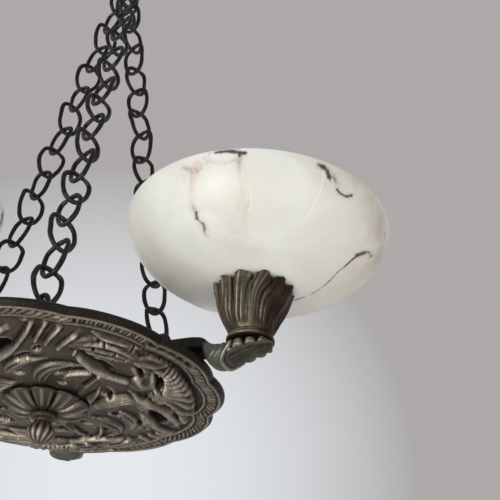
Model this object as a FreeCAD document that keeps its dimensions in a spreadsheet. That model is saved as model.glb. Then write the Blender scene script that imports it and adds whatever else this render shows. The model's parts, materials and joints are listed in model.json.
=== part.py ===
import FreeCAD, Part
import math
import os

import Sketcher
from FreeCAD import Placement, Rotation, Vector

# An alabaster bowl pendant: a cast bronze plate hung on three wire chains, with three short
# leaf arms, each carrying a fluted cup and an open alabaster bowl.
# Origin: the ceiling, on the pendant's axis. +Z up, millimetres.

DRIVING_SIZES = {
    # gaps
    "seat_gap": 0.3,
    "run_gap": 0.06,
    "link_gap": 0.1,
    "hold_gap": 0.45,
    # ceiling bracket
    "bracket_length": 92,
    "bracket_width": 22,
    "bracket_thickness": 3,
    "fixing_spacing": 70,
    "fixing_radius": 2.4,
    "socket_radius": 9,
    "socket_depth": 12,
    # ceiling hook and its nut
    "hook_wire": 3.5,
    "hook_straight": 100,
    "hook_bend": 14,
    "hook_neck_bend": 9,
    "hook_gape": 40,
    "hook_nut_flats": 13,
    "hook_nut_height": 6,
    # canopy, its collar and screw, its cable bush
    "canopy_radius": 58,
    "canopy_height": 46,
    "canopy_wall": 1.2,
    "canopy_neck_radius": 32,
    "canopy_shoulder_radius": 50,
    "canopy_shoulder_height": 16,
    "canopy_lip_height": 5,
    "canopy_hole_radius": 5,
    "collar_radius": 8,
    "collar_height": 10,
    "screw_radius": 2,
    "screw_head_radius": 4.5,
    "screw_head_length": 6,
    "screw_neck_length": 3,
    "cable_radius": 4,
    "bush_wall": 1.6,
    "bush_flange": 2,
    "bush_flange_height": 1.2,
    "bush_stem": 4,
    "canopy_bush_offset": 21,
    # hanging link and gather ring
    "hanger_wire": 2.5,
    "hanger_length": 40,
    "hanger_width": 24,
    "hanger_end_bend": 10,
    "ring_radius": 24,
    "ring_wire": 2.5,
    # chains
    "links_per_chain": 17,
    "link_length": 29.4,
    "link_width": 19,
    "link_end_bend": 7.5,
    "link_wire": 1.6,
    "link_turn": 45,
    "link_twist": -30,
    "chain_spread": 28,
    "eye_reach": 101,
    # chain eyes
    "eye_radius": 6.5,
    "eye_wire": 2,
    "eye_height": 9,
    "eye_shank": 6,
    "eye_collar_radius": 4.5,
    "eye_collar_height": 2,
    # relief plate
    "plate_crest_radius": 136,
    "plate_lobe_depth": 4,
    "plate_lobes": 9,
    "plate_lobe_turn": -51,
    "plate_wall": 9.5,
    "rim_edge": 3,
    "rim_slope_width": 12,
    "plate_skin": 4,
    "border_width": 15,
    "cove_width": 6,
    "cove_depth": 2.5,
    "dome_depth": 13,
    "dome_flat_radius": 52,
    "dome_edge_depth": 7,
    "pan_radius": 73,
    # top cover
    "cover_radius": 80,
    "cover_height": 13,
    "cover_wall": 1.2,
    "cover_bend": 5,
    "cover_bush_offset": 40,
    "wire_hole_radius": 4,
    # centre rod and what it holds
    "rod_radius": 5,
    "rod_nut_flats": 17,
    "rod_nut_height": 6,
    "washer_thickness": 1.6,
    "rod_washer_radius": 12,
    "rod_spare": 3,
    "rosette_radius": 34,
    "rosette_height": 9,
    "rosette_edge": 3.5,
    "rosette_leaves": 9,
    "rosette_notch": 4.5,
    "finial_radius": 11,
    "finial_neck_radius": 7,
    "finial_base_height": 4,
    "finial_thread": 12,
    # terminal block on the pan floor
    "terminal_length": 34,
    "terminal_width": 16,
    "terminal_height": 13,
    "terminal_poles": 3,
    "terminal_bore": 1.8,
    "terminal_offset": 24,
    # arms
    "arms": 3,
    "arm_turn": -60,
    "arm_reach": 170,
    "arm_foot_width": 22,
    "arm_foot_height": 11,
    "arm_foot_length": 43,
    "arm_seat_height": 13,
    "arm_seat_radius": 16,
    "arm_knuckle_low": 10.5,
    "arm_knuckle_half_width": 15.5,
    "arm_knuckle_top": 11,
    "arm_tip_reach": 189,
    "arm_tip_half": 3,
    "arm_wire_bore": 2.5,
    "arm_thread_depth": 11,
    "arm_screw_radius": 2,
    "arm_screw_length": 5,
    "arm_screw_head_radius": 4,
    "arm_screw_head_height": 2.2,
    "arm_screw_spacing": 12,
    "arm_screw_inset": 20,
    # fluted cup
    "cup_foot_radius": 17.5,
    "cup_foot_height": 3,
    "cup_ring_radius": 16,
    "cup_ring_height": 2,
    "cup_neck_radius": 15.4,
    "cup_waist_radius": 22.5,
    "cup_belly_radius": 28.5,
    "cup_belly_height": 31,
    "cup_lip_radius": 31,
    "cup_height": 42.4,
    "cup_flutes": 16,
    "cup_flute_depth": 1.6,
    "cup_wall": 3,
    "cup_floor": 5,
    # bowl
    "bowl_radius": 100,
    "bowl_depth": 56,
    "bowl_foot_cut": 1.2,
    "bowl_rim_wall": 7,
    "bowl_floor": 8,
    "bowl_hole_radius": 6,
    "bowl_seat_height": 42.2,
    # what clamps the bowl
    "nipple_radius": 5,
    "nipple_bore": 3.6,
    "sleeve_radius": 8,
    "seat_disc_radius": 21,
    "seat_disc_thickness": 3,
    "gasket_radius": 19,
    "gasket_thickness": 1.5,
    "clamp_washer_radius": 15,
    "clamp_nut_flats": 14,
    "clamp_nut_height": 5,
    # lampholder and bulb
    "holder_radius": 13.5,
    "holder_base": 7,
    "holder_height": 36,
    "holder_mouth_radius": 11,
    "holder_mouth_depth": 7,
    "holder_wire_bore": 2.5,
    "contact_radius": 6.5,
    "contact_thickness": 1.2,
    "cap_radius": 7,
    "cap_height": 21,
    "cap_contact_radius": 3,
    "cap_contact_height": 2,
    "bulb_neck_radius": 9,
    "bulb_neck_height": 8,
    "bulb_radius": 22.5,
    "bulb_wall": 0.9,
}

doc = FreeCAD.newDocument("alabaster_bowl_pendant")
sheet = doc.addObject("Spreadsheet::Sheet", "Sizes")
for row, (alias, number) in enumerate(DRIVING_SIZES.items(), start=1):
    sheet.set(f"A{row}", alias)
    sheet.set(f"B{row}", str(number))
    sheet.setAlias(f"B{row}", alias)
doc.recompute()


class Size:
    """A length that is both a number and the sheet's expression for it."""

    def __init__(self, value, text=None):
        self.value = float(value)
        self.text = text or repr(float(value))

    def _join(self, other, sign, value):
        other = other if isinstance(other, Size) else Size(other)
        return Size(value(self.value, other.value), f"({self.text} {sign} {other.text})")

    def __add__(self, other):
        return self._join(other, "+", lambda a, b: a + b)

    def __sub__(self, other):
        return self._join(other, "-", lambda a, b: a - b)

    def __mul__(self, other):
        return self._join(other, "*", lambda a, b: a * b)

    def __truediv__(self, other):
        return self._join(other, "/", lambda a, b: a / b)

    def __neg__(self):
        return Size(-self.value, f"(-1 * {self.text})")

    def __float__(self):
        return self.value


class SheetSizes:
    """The sheet's cells by name: size.bowl_radius is the cell as a Size."""

    def __getattr__(self, alias):
        return Size(sheet.get(alias), f"Sizes.{alias}")


size = SheetSizes()
ZERO = Size(0, "0")
X_AXIS = Vector(1, 0, 0)
Y_AXIS = Vector(0, 1, 0)
Z_AXIS = Vector(0, 0, 1)
sub_parts = []


def keep(obj, label):
    """Marks a finished sub-part, which is written out under its label."""
    obj.Label = label
    sub_parts.append(obj)
    return obj


def place(base=(0, 0, 0), axis=Z_AXIS, degrees=0.0):
    return Placement(Vector(*[float(c) for c in base]), Rotation(axis, float(degrees)))


def along(azimuth, radius, height=0.0):
    """The point at a radius and height in a vertical plane at an azimuth, in degrees."""
    turn = math.radians(float(azimuth))
    return Vector(float(radius) * math.cos(turn), float(radius) * math.sin(turn), float(height))


# ---------------------------------------------------------------- builders


def bind(obj, **sizes):
    for prop, value in sizes.items():
        obj.setExpression(prop, value.text)
        setattr(obj, prop, value.value)
    return obj


def rod(name, radius, height, at=None):
    obj = bind(doc.addObject("Part::Cylinder", name), Radius=radius, Height=height)
    obj.Placement = at or Placement()
    return obj


def block(name, length, width, height, at=None):
    """A box whose bottom face is centred on its place."""
    obj = bind(doc.addObject("Part::Box", name), Length=length, Width=width, Height=height)
    centre = Placement(Vector(-length.value / 2, -width.value / 2, 0), Rotation())
    obj.Placement = (at or Placement()).multiply(centre)
    return obj


def hexagon(name, flats, height, at=None):
    corner = flats * Size(1 / math.sqrt(3), "(1 / sqrt(3))")
    obj = doc.addObject("Part::Prism", name)
    obj.Polygon = 6
    bind(obj, Circumradius=corner, Height=height)
    obj.Placement = at or Placement()
    return obj


def joined(name, pieces):
    obj = doc.addObject("Part::MultiFuse", name)
    obj.Shapes = pieces
    obj.Refine = True
    return obj


def cut(name, base, tool):
    obj = doc.addObject("Part::Cut", name)
    obj.Base = base
    obj.Tool = tool
    obj.Refine = True
    return obj


def formed(name, shape, at=None):
    """A piece whose shape comes from Part's own functions."""
    obj = doc.addObject("Part::Feature", name)
    obj.Shape = shape
    obj.Placement = at or Placement()
    return obj


def origin_plane(body, role):
    return next(f for f in body.Origin.OriginFeatures if f.Role == role)


def pin_point(sketch, geometry, vertex, point):
    """Holds a sketch vertex at (radius, height) with constraints bound to the sheet."""
    x, y = point
    if x is ZERO:
        sketch.addConstraint(Sketcher.Constraint("PointOnObject", geometry, vertex, -2))
    else:
        at = sketch.addConstraint(Sketcher.Constraint("DistanceX", -1, 1, geometry, vertex, x.value))
        sketch.setExpression(f"Constraints[{at}]", x.text)
    if y is ZERO:
        sketch.addConstraint(Sketcher.Constraint("PointOnObject", geometry, vertex, -1))
    else:
        at = sketch.addConstraint(Sketcher.Constraint("DistanceY", -1, 1, geometry, vertex, y.value))
        sketch.setExpression(f"Constraints[{at}]", y.text)


def flat(point):
    return Vector(point[0].value, point[1].value, 0)


def end_vertex(sketch, geometry, point):
    """Which end of an edge, 1 or 2, lies at a point."""
    first = sketch.getPoint(geometry, 1)
    last = sketch.getPoint(geometry, 2)
    return 1 if (first - flat(point)).Length < (last - flat(point)).Length else 2


def lathe(name, outline, at=None):
    """A turned piece. Its outline goes round a closed profile of (radius, height) points;
    an entry ("arc", through, to) runs to a point by way of another one."""
    body = doc.addObject("PartDesign::Body", name)
    sketch = body.newObject("Sketcher::SketchObject", name + "_profile")
    sketch.AttachmentSupport = [(origin_plane(body, "XZ_Plane"), "")]
    sketch.MapMode = "FlatFace"
    corners = [step[2] if step[0] == "arc" else step for step in outline]
    last_edge = None
    for index, step in enumerate(outline[1:] + outline[:1], start=1):
        here = corners[index - 1]
        there = corners[index % len(corners)]
        if step[0] == "arc":
            arc = Part.Arc(flat(here), flat(step[1]), flat(there))
            edge = sketch.addGeometry(arc, False)
            mark = sketch.addGeometry(Part.Point(flat(step[1])), True)
            pin_point(sketch, mark, 1, step[1])
            sketch.addConstraint(Sketcher.Constraint("PointOnObject", mark, 1, edge))
        else:
            edge = sketch.addGeometry(Part.LineSegment(flat(here), flat(there)), False)
        start = end_vertex(sketch, edge, here)
        pin_point(sketch, edge, start, here)
        if last_edge is not None:
            sketch.addConstraint(Sketcher.Constraint("Coincident", *last_edge, edge, start))
        else:
            first_edge = (edge, start)
        last_edge = (edge, 3 - start)
    sketch.addConstraint(Sketcher.Constraint("Coincident", *last_edge, *first_edge))
    turned = body.newObject("PartDesign::Revolution", name + "_turned")
    turned.Profile = sketch
    turned.ReferenceAxis = (sketch, ["V_Axis"])
    turned.Angle = 360
    sketch.Visibility = False
    body.Placement = at or Placement()
    return body


def tube(name, inner, outer, height, at=None):
    outline = [(inner, ZERO), (outer, ZERO), (outer, height), (inner, height)]
    return lathe(name, outline, at)


def swept(path_edges, radius):
    """A round rod along a path of tangent edges."""
    path = Part.Wire(path_edges)
    first = path_edges[0]
    start = first.valueAt(first.FirstParameter)
    ring = Part.Wire(Part.makeCircle(radius, start, first.tangentAt(first.FirstParameter)))
    return path.makePipeShell([ring], True, False)


def arc_edge(start, through, end):
    return Part.Arc(start, through, end).toShape()


def oval_link(length, width, end_bend, wire):
    """A closed oval link of four arcs: its length along Z, its width along X."""
    half_length = float(length) / 2
    half_width = float(width) / 2
    end_bend = float(end_bend)
    end_centre = half_length - end_bend
    side_bend = (end_centre ** 2 + half_width ** 2 - end_bend ** 2) / (2 * (half_width - end_bend))
    lean = math.atan2(end_centre, side_bend - half_width)
    meet_x = side_bend * math.cos(lean) - (side_bend - half_width)
    meet_z = side_bend * math.sin(lean)
    right = Vector(half_width, 0, 0)
    top = Vector(0, 0, half_length)
    corners = [Vector(x, 0, z) for x, z in
               ((meet_x, -meet_z), (meet_x, meet_z), (-meet_x, meet_z), (-meet_x, -meet_z))]
    edges = [
        arc_edge(corners[0], right, corners[1]),
        arc_edge(corners[1], top, corners[2]),
        arc_edge(corners[2], -right, corners[3]),
        arc_edge(corners[3], -top, corners[0]),
    ]
    return swept(edges, float(wire))


def placed(shape, at):
    moved = shape.copy()
    moved.Placement = at.multiply(shape.Placement)
    return moved


def copies(name, shape, places):
    """One node of identical separate solids."""
    return formed(name, Part.makeCompound([placed(shape, at) for at in places]))


def leg(longest, other):
    """The third side of a right triangle, from its longest side and another."""
    value = math.sqrt(longest.value ** 2 - other.value ** 2)
    return Size(value, f"sqrt({longest.text} ^ 2 - {other.text} ^ 2)")


def lobed_wire(crest, depth, lobes, height, turn=0.0):
    """A ring of outward arcs that meet in notches."""
    step = 360.0 / lobes
    edges = []
    for lobe in range(lobes):
        start = turn + lobe * step
        edges.append(arc_edge(
            along(start, crest - depth, height),
            along(start + step / 2, crest, height),
            along(start + step, crest - depth, height),
        ))
    return Part.Wire(edges)


def turned_solid(outline):
    """A full turn about Z of a closed polygon of (radius, height) numbers."""
    corners = [Vector(radius, 0, height) for radius, height in outline]
    face = Part.Face(Part.makePolygon(corners + corners[:1]))
    return face.revolve(Vector(), Z_AXIS, 360)


# ---------------------------------------------------------------- heights and places

HOOK_DROP = leg(size.hook_neck_bend + size.hook_bend, size.hook_neck_bend)
HOOK_CENTRE = -(size.hook_straight + HOOK_DROP)
HOOK_LOW = HOOK_CENTRE - size.hook_bend
HANGER_TOP = HOOK_LOW + size.hook_wire + size.hanger_wire + size.link_gap
HANGER_LOW = HANGER_TOP - size.hanger_length
RING_CENTRE = HANGER_LOW + size.hanger_wire + size.ring_wire + size.link_gap - size.ring_radius

# The chains stand midway between the arms. Two hang from the sides of the gather ring and are
# taut; the one between them hangs a little lower and takes up the difference in its joints.
LINKS = int(float(size.links_per_chain))
LINK_STEP = size.link_length - size.link_wire * 2 - size.link_gap
CHAIN_SPAN = size.link_length + LINK_STEP * (LINKS - 1)
EYE_HOLD = size.eye_radius - size.eye_wire - size.link_wire - size.hold_gap
RING_HOLD = size.ring_wire + size.link_wire + size.hold_gap
EYE_TO_RING = CHAIN_SPAN + EYE_HOLD - RING_HOLD

ARMS = int(float(size.arms))
ARM_TURNS = [float(size.arm_turn) + 360.0 / ARMS * arm for arm in range(ARMS)]
EYE_TURNS = [turn + 180.0 / ARMS for turn in ARM_TURNS]

# Each chain: its place along the gather ring, and the way to its eye on the plate.
CHAINS = {
    "right": (ZERO, EYE_TURNS[0]),
    "back": (size.chain_spread, EYE_TURNS[1]),
    "front": (-size.chain_spread, EYE_TURNS[2]),
}


def ring_spot(spread):
    """The middle of the gather ring's wire at an angle from its lowest point."""
    lean = math.radians(float(spread))
    radius = float(size.ring_radius)
    return Vector(0, radius * math.sin(lean), RING_CENTRE.value - radius * math.cos(lean))


OUTER_HANG = ring_spot(size.chain_spread)
OUTER_REACH = (along(EYE_TURNS[1], size.eye_reach) - Vector(0, OUTER_HANG.y, 0)).Length
CHAIN_RISE = leg(EYE_TO_RING, Size(OUTER_REACH))
PLATE_TOP = OUTER_HANG.z - CHAIN_RISE.value - float(size.eye_height)
PLATE_RIM = PLATE_TOP - float(size.plate_wall)

ARM_START = size.cover_radius + size.seat_gap
BOWL_FOOT = size.arm_seat_height + size.bowl_seat_height
BOWL_FLOOR = BOWL_FOOT + size.bowl_floor - size.bowl_foot_cut
WASHER_BASE = BOWL_FLOOR + size.gasket_thickness
CLAMP_NUT_BASE = WASHER_BASE + size.washer_thickness
HOLDER_START = CLAMP_NUT_BASE + size.clamp_nut_height
COVER_TOP = size.plate_wall + size.cover_height


def at_plate(base=(0, 0, 0), turn=0.0):
    """A place on the plate: height counts from the plane of its underside rim."""
    x, y, height = (float(c) for c in base)
    return place((0, 0, PLATE_RIM), degrees=turn).multiply(place((x, y, height)))


def at_arm(turn, height):
    """A place on the upright axis at the end of the arm that points this way."""
    return at_plate((0, 0, 0), turn).multiply(place((size.arm_reach, 0, height)))


# ---------------------------------------------------------------- ceiling fixing


def make_bracket():
    strap = block("bracket_strap", size.bracket_length, size.bracket_width, size.bracket_thickness,
                  place((0, 0, -size.bracket_thickness)))
    socket = rod("bracket_socket", size.socket_radius, size.socket_depth, place((0, 0, -size.socket_depth)))
    bores = [rod("bracket_bore", size.hook_wire + size.run_gap, size.socket_depth,
                 place((0, 0, -size.socket_depth)))]
    for side in (-1, 1):
        at = place((side * float(size.fixing_spacing) / 2, 0, -size.bracket_thickness))
        bores.append(rod("bracket_fixing", size.fixing_radius, size.bracket_thickness, at))
    blank = joined("bracket_blank", [strap, socket])
    keep(cut("bracket", blank, joined("bracket_bores", bores)), "ceiling_bracket")


def hook_path():
    """In the plane Y = 0: straight down, out to one side and round under the axis, ending open."""
    centre = Vector(0, 0, HOOK_CENTRE.value)
    neck = float(size.hook_neck_bend)
    bend = float(size.hook_bend)
    neck_centre = Vector(-neck, 0, -float(size.hook_straight))
    meet = neck_centre + (centre - neck_centre) * (neck / (neck + bend))
    top = Vector(0, 0, -float(size.seat_gap))
    straight_end = Vector(0, 0, -float(size.hook_straight))
    neck_turn = math.atan2(meet.z - neck_centre.z, meet.x - neck_centre.x) / 2
    neck_middle = neck_centre + Vector(neck * math.cos(neck_turn), 0, neck * math.sin(neck_turn))
    gape = math.radians(float(size.hook_gape))
    tip = centre + Vector(bend * math.cos(gape), 0, bend * math.sin(gape))
    bottom = centre - Vector(0, 0, bend)
    return [
        Part.makeLine(top, straight_end),
        arc_edge(straight_end, neck_middle, meet),
        arc_edge(meet, bottom, tip),
    ]


def make_hook():
    wire = float(size.hook_wire)
    path = hook_path()
    tip = path[-1].valueAt(path[-1].LastParameter)
    shape = swept(path, wire).fuse(Part.makeSphere(wire, tip)).removeSplitter()
    keep(formed("hook", shape, place((0, 0, 0), Z_AXIS, 90)), "ceiling_hook")
    low = -(size.socket_depth + size.seat_gap + size.hook_nut_height)
    nut = hexagon("hook_nut_blank", size.hook_nut_flats, size.hook_nut_height, place((0, 0, low)))
    bore = rod("hook_nut_bore", size.hook_wire, size.hook_nut_height, place((0, 0, low)))
    keep(cut("hook_nut", nut, bore), "hook_lock_nut")


def make_canopy():
    low = -(size.seat_gap + size.canopy_height)
    wall = size.canopy_wall
    side_top = size.canopy_height - size.canopy_lip_height
    shell = lathe("canopy_shell", [
        (size.canopy_hole_radius, ZERO),
        (size.canopy_neck_radius, ZERO),
        ("arc", (size.canopy_shoulder_radius, size.canopy_shoulder_height), (size.canopy_radius, side_top)),
        (size.canopy_radius, size.canopy_height),
        (size.canopy_radius - wall, size.canopy_height),
        (size.canopy_radius - wall, side_top),
        ("arc", (size.canopy_shoulder_radius - wall, size.canopy_shoulder_height + wall),
         (size.canopy_neck_radius, wall)),
        (size.canopy_hole_radius, wall),
    ], place((0, 0, low)))
    bush_at = (0, size.canopy_bush_offset, low)
    hole = rod("canopy_cable_hole", size.cable_radius + size.bush_wall + size.run_gap, wall, place(bush_at))
    keep(cut("canopy_drilled", shell, hole), "canopy")
    keep(cable_bush("canopy_bush_turned", place(bush_at, X_AXIS, 180)), "canopy_bush")
    collar_low = low - size.collar_height
    ring = tube("collar_ring", size.hook_wire + size.run_gap, size.collar_radius, size.collar_height,
                place((0, 0, collar_low)))
    screw_height = collar_low + size.collar_height / 2
    level = place((0, 0, screw_height), Y_AXIS, 90)
    hole = rod("collar_hole", size.screw_radius + size.run_gap, size.collar_radius * 2, level)
    keep(cut("collar", ring, hole), "canopy_collar")
    make_collar_screw(screw_height)


def make_collar_screw(height):
    """A thumb screw that lies along X, its tip just clear of the hook's shank."""
    tip = size.hook_wire + size.run_gap
    shank_end = size.collar_radius + size.screw_neck_length
    at = place((tip, 0, height), Y_AXIS, 90)
    keep(lathe("collar_screw_turned", [
        (ZERO, ZERO),
        (size.screw_radius, ZERO),
        (size.screw_radius, shank_end - tip),
        (size.screw_head_radius, shank_end - tip),
        (size.screw_head_radius, shank_end - tip + size.screw_head_length),
        (ZERO, shank_end - tip + size.screw_head_length),
    ], at), "collar_screw")


def cable_bush(name, at):
    """A flanged bush: its flange lies on +Z of its place and its stem goes through the wall."""
    stem = size.bush_stem
    return lathe(name, [
        (size.cable_radius, -stem),
        (size.cable_radius + size.bush_wall, -stem),
        (size.cable_radius + size.bush_wall, ZERO),
        (size.cable_radius + size.bush_wall + size.bush_flange, ZERO),
        (size.cable_radius + size.bush_wall + size.bush_flange, size.bush_flange_height),
        (size.cable_radius, size.bush_flange_height),
    ], at)


# ---------------------------------------------------------------- link, ring, chains and eyes


def make_hanging_link():
    """The long link on the hook lies across the hook, in the plane Y = 0."""
    shape = oval_link(size.hanger_length, size.hanger_width, size.hanger_end_bend, size.hanger_wire)
    centre = HANGER_TOP - size.hanger_length / 2
    keep(formed("hanger", shape, place((0, 0, centre))), "hanging_link")


def make_gather_ring():
    ring = bind(doc.addObject("Part::Torus", "ring"), Radius1=size.ring_radius, Radius2=size.ring_wire)
    ring.Placement = place((0, 0, RING_CENTRE), Y_AXIS, 90)
    keep(ring, "gather_ring")


def chain_line(spread, turn):
    """The eye's centre, the chain's lower end and its upper end."""
    hang = ring_spot(spread)
    eye = along(turn, size.eye_reach, PLATE_TOP + float(size.eye_height))
    up = (hang - eye).normalize()
    return eye, eye + up * EYE_HOLD.value, hang + up * RING_HOLD.value


def link_placement(centre, up, turn):
    """Sets a link's length along the chain and its width at an angle from the X direction."""
    level = (X_AXIS - up * X_AXIS.dot(up)).normalize()
    side = up.cross(level)
    angle = math.radians(turn)
    width = level * math.cos(angle) + side * math.sin(angle)
    return Placement(centre, Rotation(width, up.cross(width), up, "ZXY"))


def make_chains():
    link = oval_link(size.link_length, size.link_width, size.link_end_bend, size.link_wire)
    half = size.link_length.value / 2
    turn = size.link_turn.value
    twist = size.link_twist.value
    for name, (spread, way) in CHAINS.items():
        eye, low, high = chain_line(spread, way)
        up = (high - low).normalize()
        step = ((high - low).Length - 2 * half) / (LINKS - 1)
        places = []
        for index in range(LINKS):
            side = turn if index % 2 == 0 else -turn
            places.append(link_placement(low + up * (half + step * index), up, twist + side))
        keep(copies("chain_" + name + "_links", link, places), "chain_" + name)
        make_eye(name, eye, places[0].Rotation.multVec(X_AXIS))


def make_eye(name, centre, hole_way):
    """A screw eye: its hole looks along the width of the link that it holds."""
    turn = math.degrees(math.atan2(hole_way.y, hole_way.x))
    upright = place(centre, Z_AXIS, turn).multiply(place((0, 0, 0), Y_AXIS, 90))
    ring = bind(doc.addObject("Part::Torus", "eye_ring_" + name), Radius1=size.eye_radius, Radius2=size.eye_wire)
    ring.Placement = upright
    foot = (centre.x, centre.y, PLATE_TOP)
    collar = rod("eye_collar_" + name, size.eye_collar_radius, size.eye_collar_height, place(foot))
    low = (centre.x, centre.y, PLATE_TOP - size.eye_shank.value)
    shank = rod("eye_shank_" + name, size.eye_wire, size.eye_shank, place(low))
    keep(joined("eye_" + name, [ring, collar, shank]), "chain_eye_" + name)


# ---------------------------------------------------------------- plate and what it holds


def plate_underside():
    """The dome inside the border, with the cove between them."""
    border_inner = size.plate_crest_radius - size.plate_lobe_depth - size.border_width
    dome_radius = (border_inner - size.cove_width).value
    depth = size.dome_depth.value
    edge = size.dome_edge_depth.value
    return border_inner.value, dome_radius, depth, edge


def plate_bores():
    """Blind holes for the arm screws and eyes, and the rod's hole through the middle."""
    wall = size.plate_wall.value
    gap = size.run_gap.value
    depth = size.arm_screw_length.value + size.seat_gap.value
    screw = Part.makeCylinder(size.arm_screw_radius.value + gap, depth, Vector(0, 0, wall - depth))
    tools = [placed(screw, place(spot)) for spot in arm_screw_spots()]
    depth = size.eye_shank.value + size.seat_gap.value
    shank = Part.makeCylinder(size.eye_wire.value + gap, depth, Vector(0, 0, wall - depth))
    for spread, way in CHAINS.values():
        eye = chain_line(spread, way)[0]
        tools.append(placed(shank, place((eye.x, eye.y, 0))))
    dome = size.dome_depth.value
    tools.append(Part.makeCylinder(size.rod_radius.value + gap, dome + wall, Vector(0, 0, -dome)))
    return tools


def arm_screw_spots():
    """Where the arm screws stand on the plate, seen from above."""
    spots = []
    radius = (ARM_START + size.arm_screw_inset).value
    for turn in ARM_TURNS:
        for side in (-1, 1):
            across = along(turn + 90, side * size.arm_screw_spacing.value / 2)
            spots.append(along(turn, radius) + across)
    return spots


def make_plate():
    border_inner, dome_radius, depth, edge = plate_underside()
    wall = size.plate_wall.value
    skin = size.plate_skin.value
    outline = lobed_wire(size.plate_crest_radius.value, size.plate_lobe_depth.value,
                         int(size.plate_lobes.value), 0, size.plate_lobe_turn.value)
    slab = Part.Face(outline).extrude(Vector(0, 0, wall))
    crest = size.plate_crest_radius.value
    slope_top = crest - size.rim_slope_width.value
    slope = turned_solid([(crest, size.rim_edge.value), (slope_top, wall), (crest, wall)])
    flat_radius = size.dome_flat_radius.value
    dome = turned_solid([(0, 0), (0, -depth), (flat_radius, -depth), (dome_radius, -edge), (dome_radius, 0)])
    cove = turned_solid([(dome_radius, 0), (border_inner, 0), (border_inner, size.cove_depth.value),
                         (dome_radius, size.cove_depth.value)])
    pan_radius = size.pan_radius.value
    pan = turned_solid([(0, wall), (0, skin - depth), (flat_radius, skin - depth),
                        (pan_radius, skin - edge), (pan_radius, wall)])
    shape = slab.cut(slope).fuse(dome).cut(cove).cut(pan).cut(plate_bores()).removeSplitter()
    keep(formed("plate", shape, place((0, 0, PLATE_RIM))), "relief_plate")


def make_cover():
    wall = size.cover_wall
    height = size.cover_height
    bore = size.rod_radius + size.run_gap
    bend_centre = size.cover_radius - size.cover_bend
    near = Size(math.sqrt(0.5), "sqrt(0.5)")
    inner_bend = size.cover_bend - wall
    at = place((0, 0, PLATE_TOP))
    shell = lathe("cover_shell", [
        (bore, height - wall),
        (bend_centre, height - wall),
        ("arc", (bend_centre + inner_bend * near, height - size.cover_bend + inner_bend * near),
         (size.cover_radius - wall, height - size.cover_bend)),
        (size.cover_radius - wall, ZERO),
        (size.cover_radius, ZERO),
        (size.cover_radius, height - size.cover_bend),
        ("arc", (bend_centre + size.cover_bend * near, height - size.cover_bend + size.cover_bend * near),
         (bend_centre, height)),
        (bore, height),
    ], at)
    drills = []
    for turn in ARM_TURNS:
        level = place((0, 0, PLATE_TOP + size.arm_foot_height.value / 2), degrees=turn)
        drills.append(rod("cover_wire_hole", size.wire_hole_radius, size.cover_radius + wall,
                          level.multiply(place((0, 0, 0), Y_AXIS, 90))))
    bush_at = Vector(0, size.cover_bush_offset.value, PLATE_TOP + height.value)
    drills.append(rod("cover_cable_hole", size.cable_radius + size.bush_wall + size.run_gap, wall,
                      place(bush_at - Vector(0, 0, wall.value))))
    keep(cut("cover", shell, joined("cover_drills", drills)), "top_cover")
    keep(cable_bush("cover_bush_turned", place(bush_at)), "cover_bush")


def make_centre():
    """The rod through the plate, with its washer and nut above and rosette and finial below."""
    rosette_low = size.dome_depth + size.rosette_height
    rod_low = rosette_low + size.finial_thread
    rod_top = COVER_TOP + size.washer_thickness + size.rod_nut_height + size.rod_spare
    keep(rod("centre_rod_turned", size.rod_radius, rod_low + rod_top, at_plate((0, 0, -rod_low))), "centre_rod")
    bore = size.rod_radius + size.run_gap
    keep(tube("centre_washer_turned", bore, size.rod_washer_radius, size.washer_thickness,
              at_plate((0, 0, COVER_TOP))), "centre_washer")
    at = at_plate((0, 0, COVER_TOP + size.washer_thickness))
    blank = hexagon("centre_nut_blank", size.rod_nut_flats, size.rod_nut_height, at)
    keep(cut("centre_nut_cut", blank, rod("centre_nut_bore", bore, size.rod_nut_height, at)), "centre_nut")
    make_rosette(at_plate((0, 0, -rosette_low)))
    make_finial(at_plate((0, 0, -(rosette_low + size.seat_gap))))


def make_rosette(at):
    """A boss of leaves under the middle of the plate, notched between the leaves."""
    inner = size.rod_radius + size.run_gap
    boss = lathe("rosette_boss", [
        (inner, ZERO),
        (size.finial_radius, ZERO),
        (size.rosette_radius, size.rosette_height - size.rosette_edge),
        (size.rosette_radius, size.rosette_height),
        (inner, size.rosette_height),
    ], at)
    notches = []
    leaves = int(size.rosette_leaves.value)
    for leaf in range(leaves):
        spot = along(360.0 / leaves * leaf, size.rosette_radius)
        notches.append(rod("rosette_notch", size.rosette_notch, size.rosette_height, at.multiply(place(spot))))
    keep(cut("rosette_cut", boss, joined("rosette_notches", notches)), "rosette")


def make_finial(at):
    """A turned bud, upside down, that screws on to the rod and turns clear of the rosette."""
    bore = size.rod_radius + size.run_gap
    ball = size.finial_radius
    middle = size.finial_base_height + leg(ball, size.finial_neck_radius)
    keep(lathe("finial_turned", [
        (ZERO, size.finial_thread),
        (bore, size.finial_thread),
        (bore, ZERO),
        (size.finial_radius, ZERO),
        (size.finial_radius, size.finial_base_height),
        (size.finial_neck_radius, size.finial_base_height),
        ("arc", (ball, middle), (ZERO, middle + ball)),
    ], at.multiply(place((0, 0, 0), X_AXIS, 180))), "finial")


def make_terminal_block():
    floor = size.plate_skin - size.dome_depth
    at = at_plate((0, size.terminal_offset, floor))
    blank = block("terminal_blank", size.terminal_length, size.terminal_width, size.terminal_height, at)
    poles = int(size.terminal_poles.value)
    bores = []
    for pole in range(poles):
        along_x = size.terminal_length.value * ((pole + 0.5) / poles - 0.5)
        start = (along_x, -size.terminal_width.value / 2, size.terminal_height.value / 2)
        through = at.multiply(place(start, X_AXIS, -90))
        bores.append(rod("terminal_bore", size.terminal_bore, size.terminal_width, through))
    keep(cut("terminal_drilled", blank, joined("terminal_bores", bores)), "terminal_block")


# ---------------------------------------------------------------- arms


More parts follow.
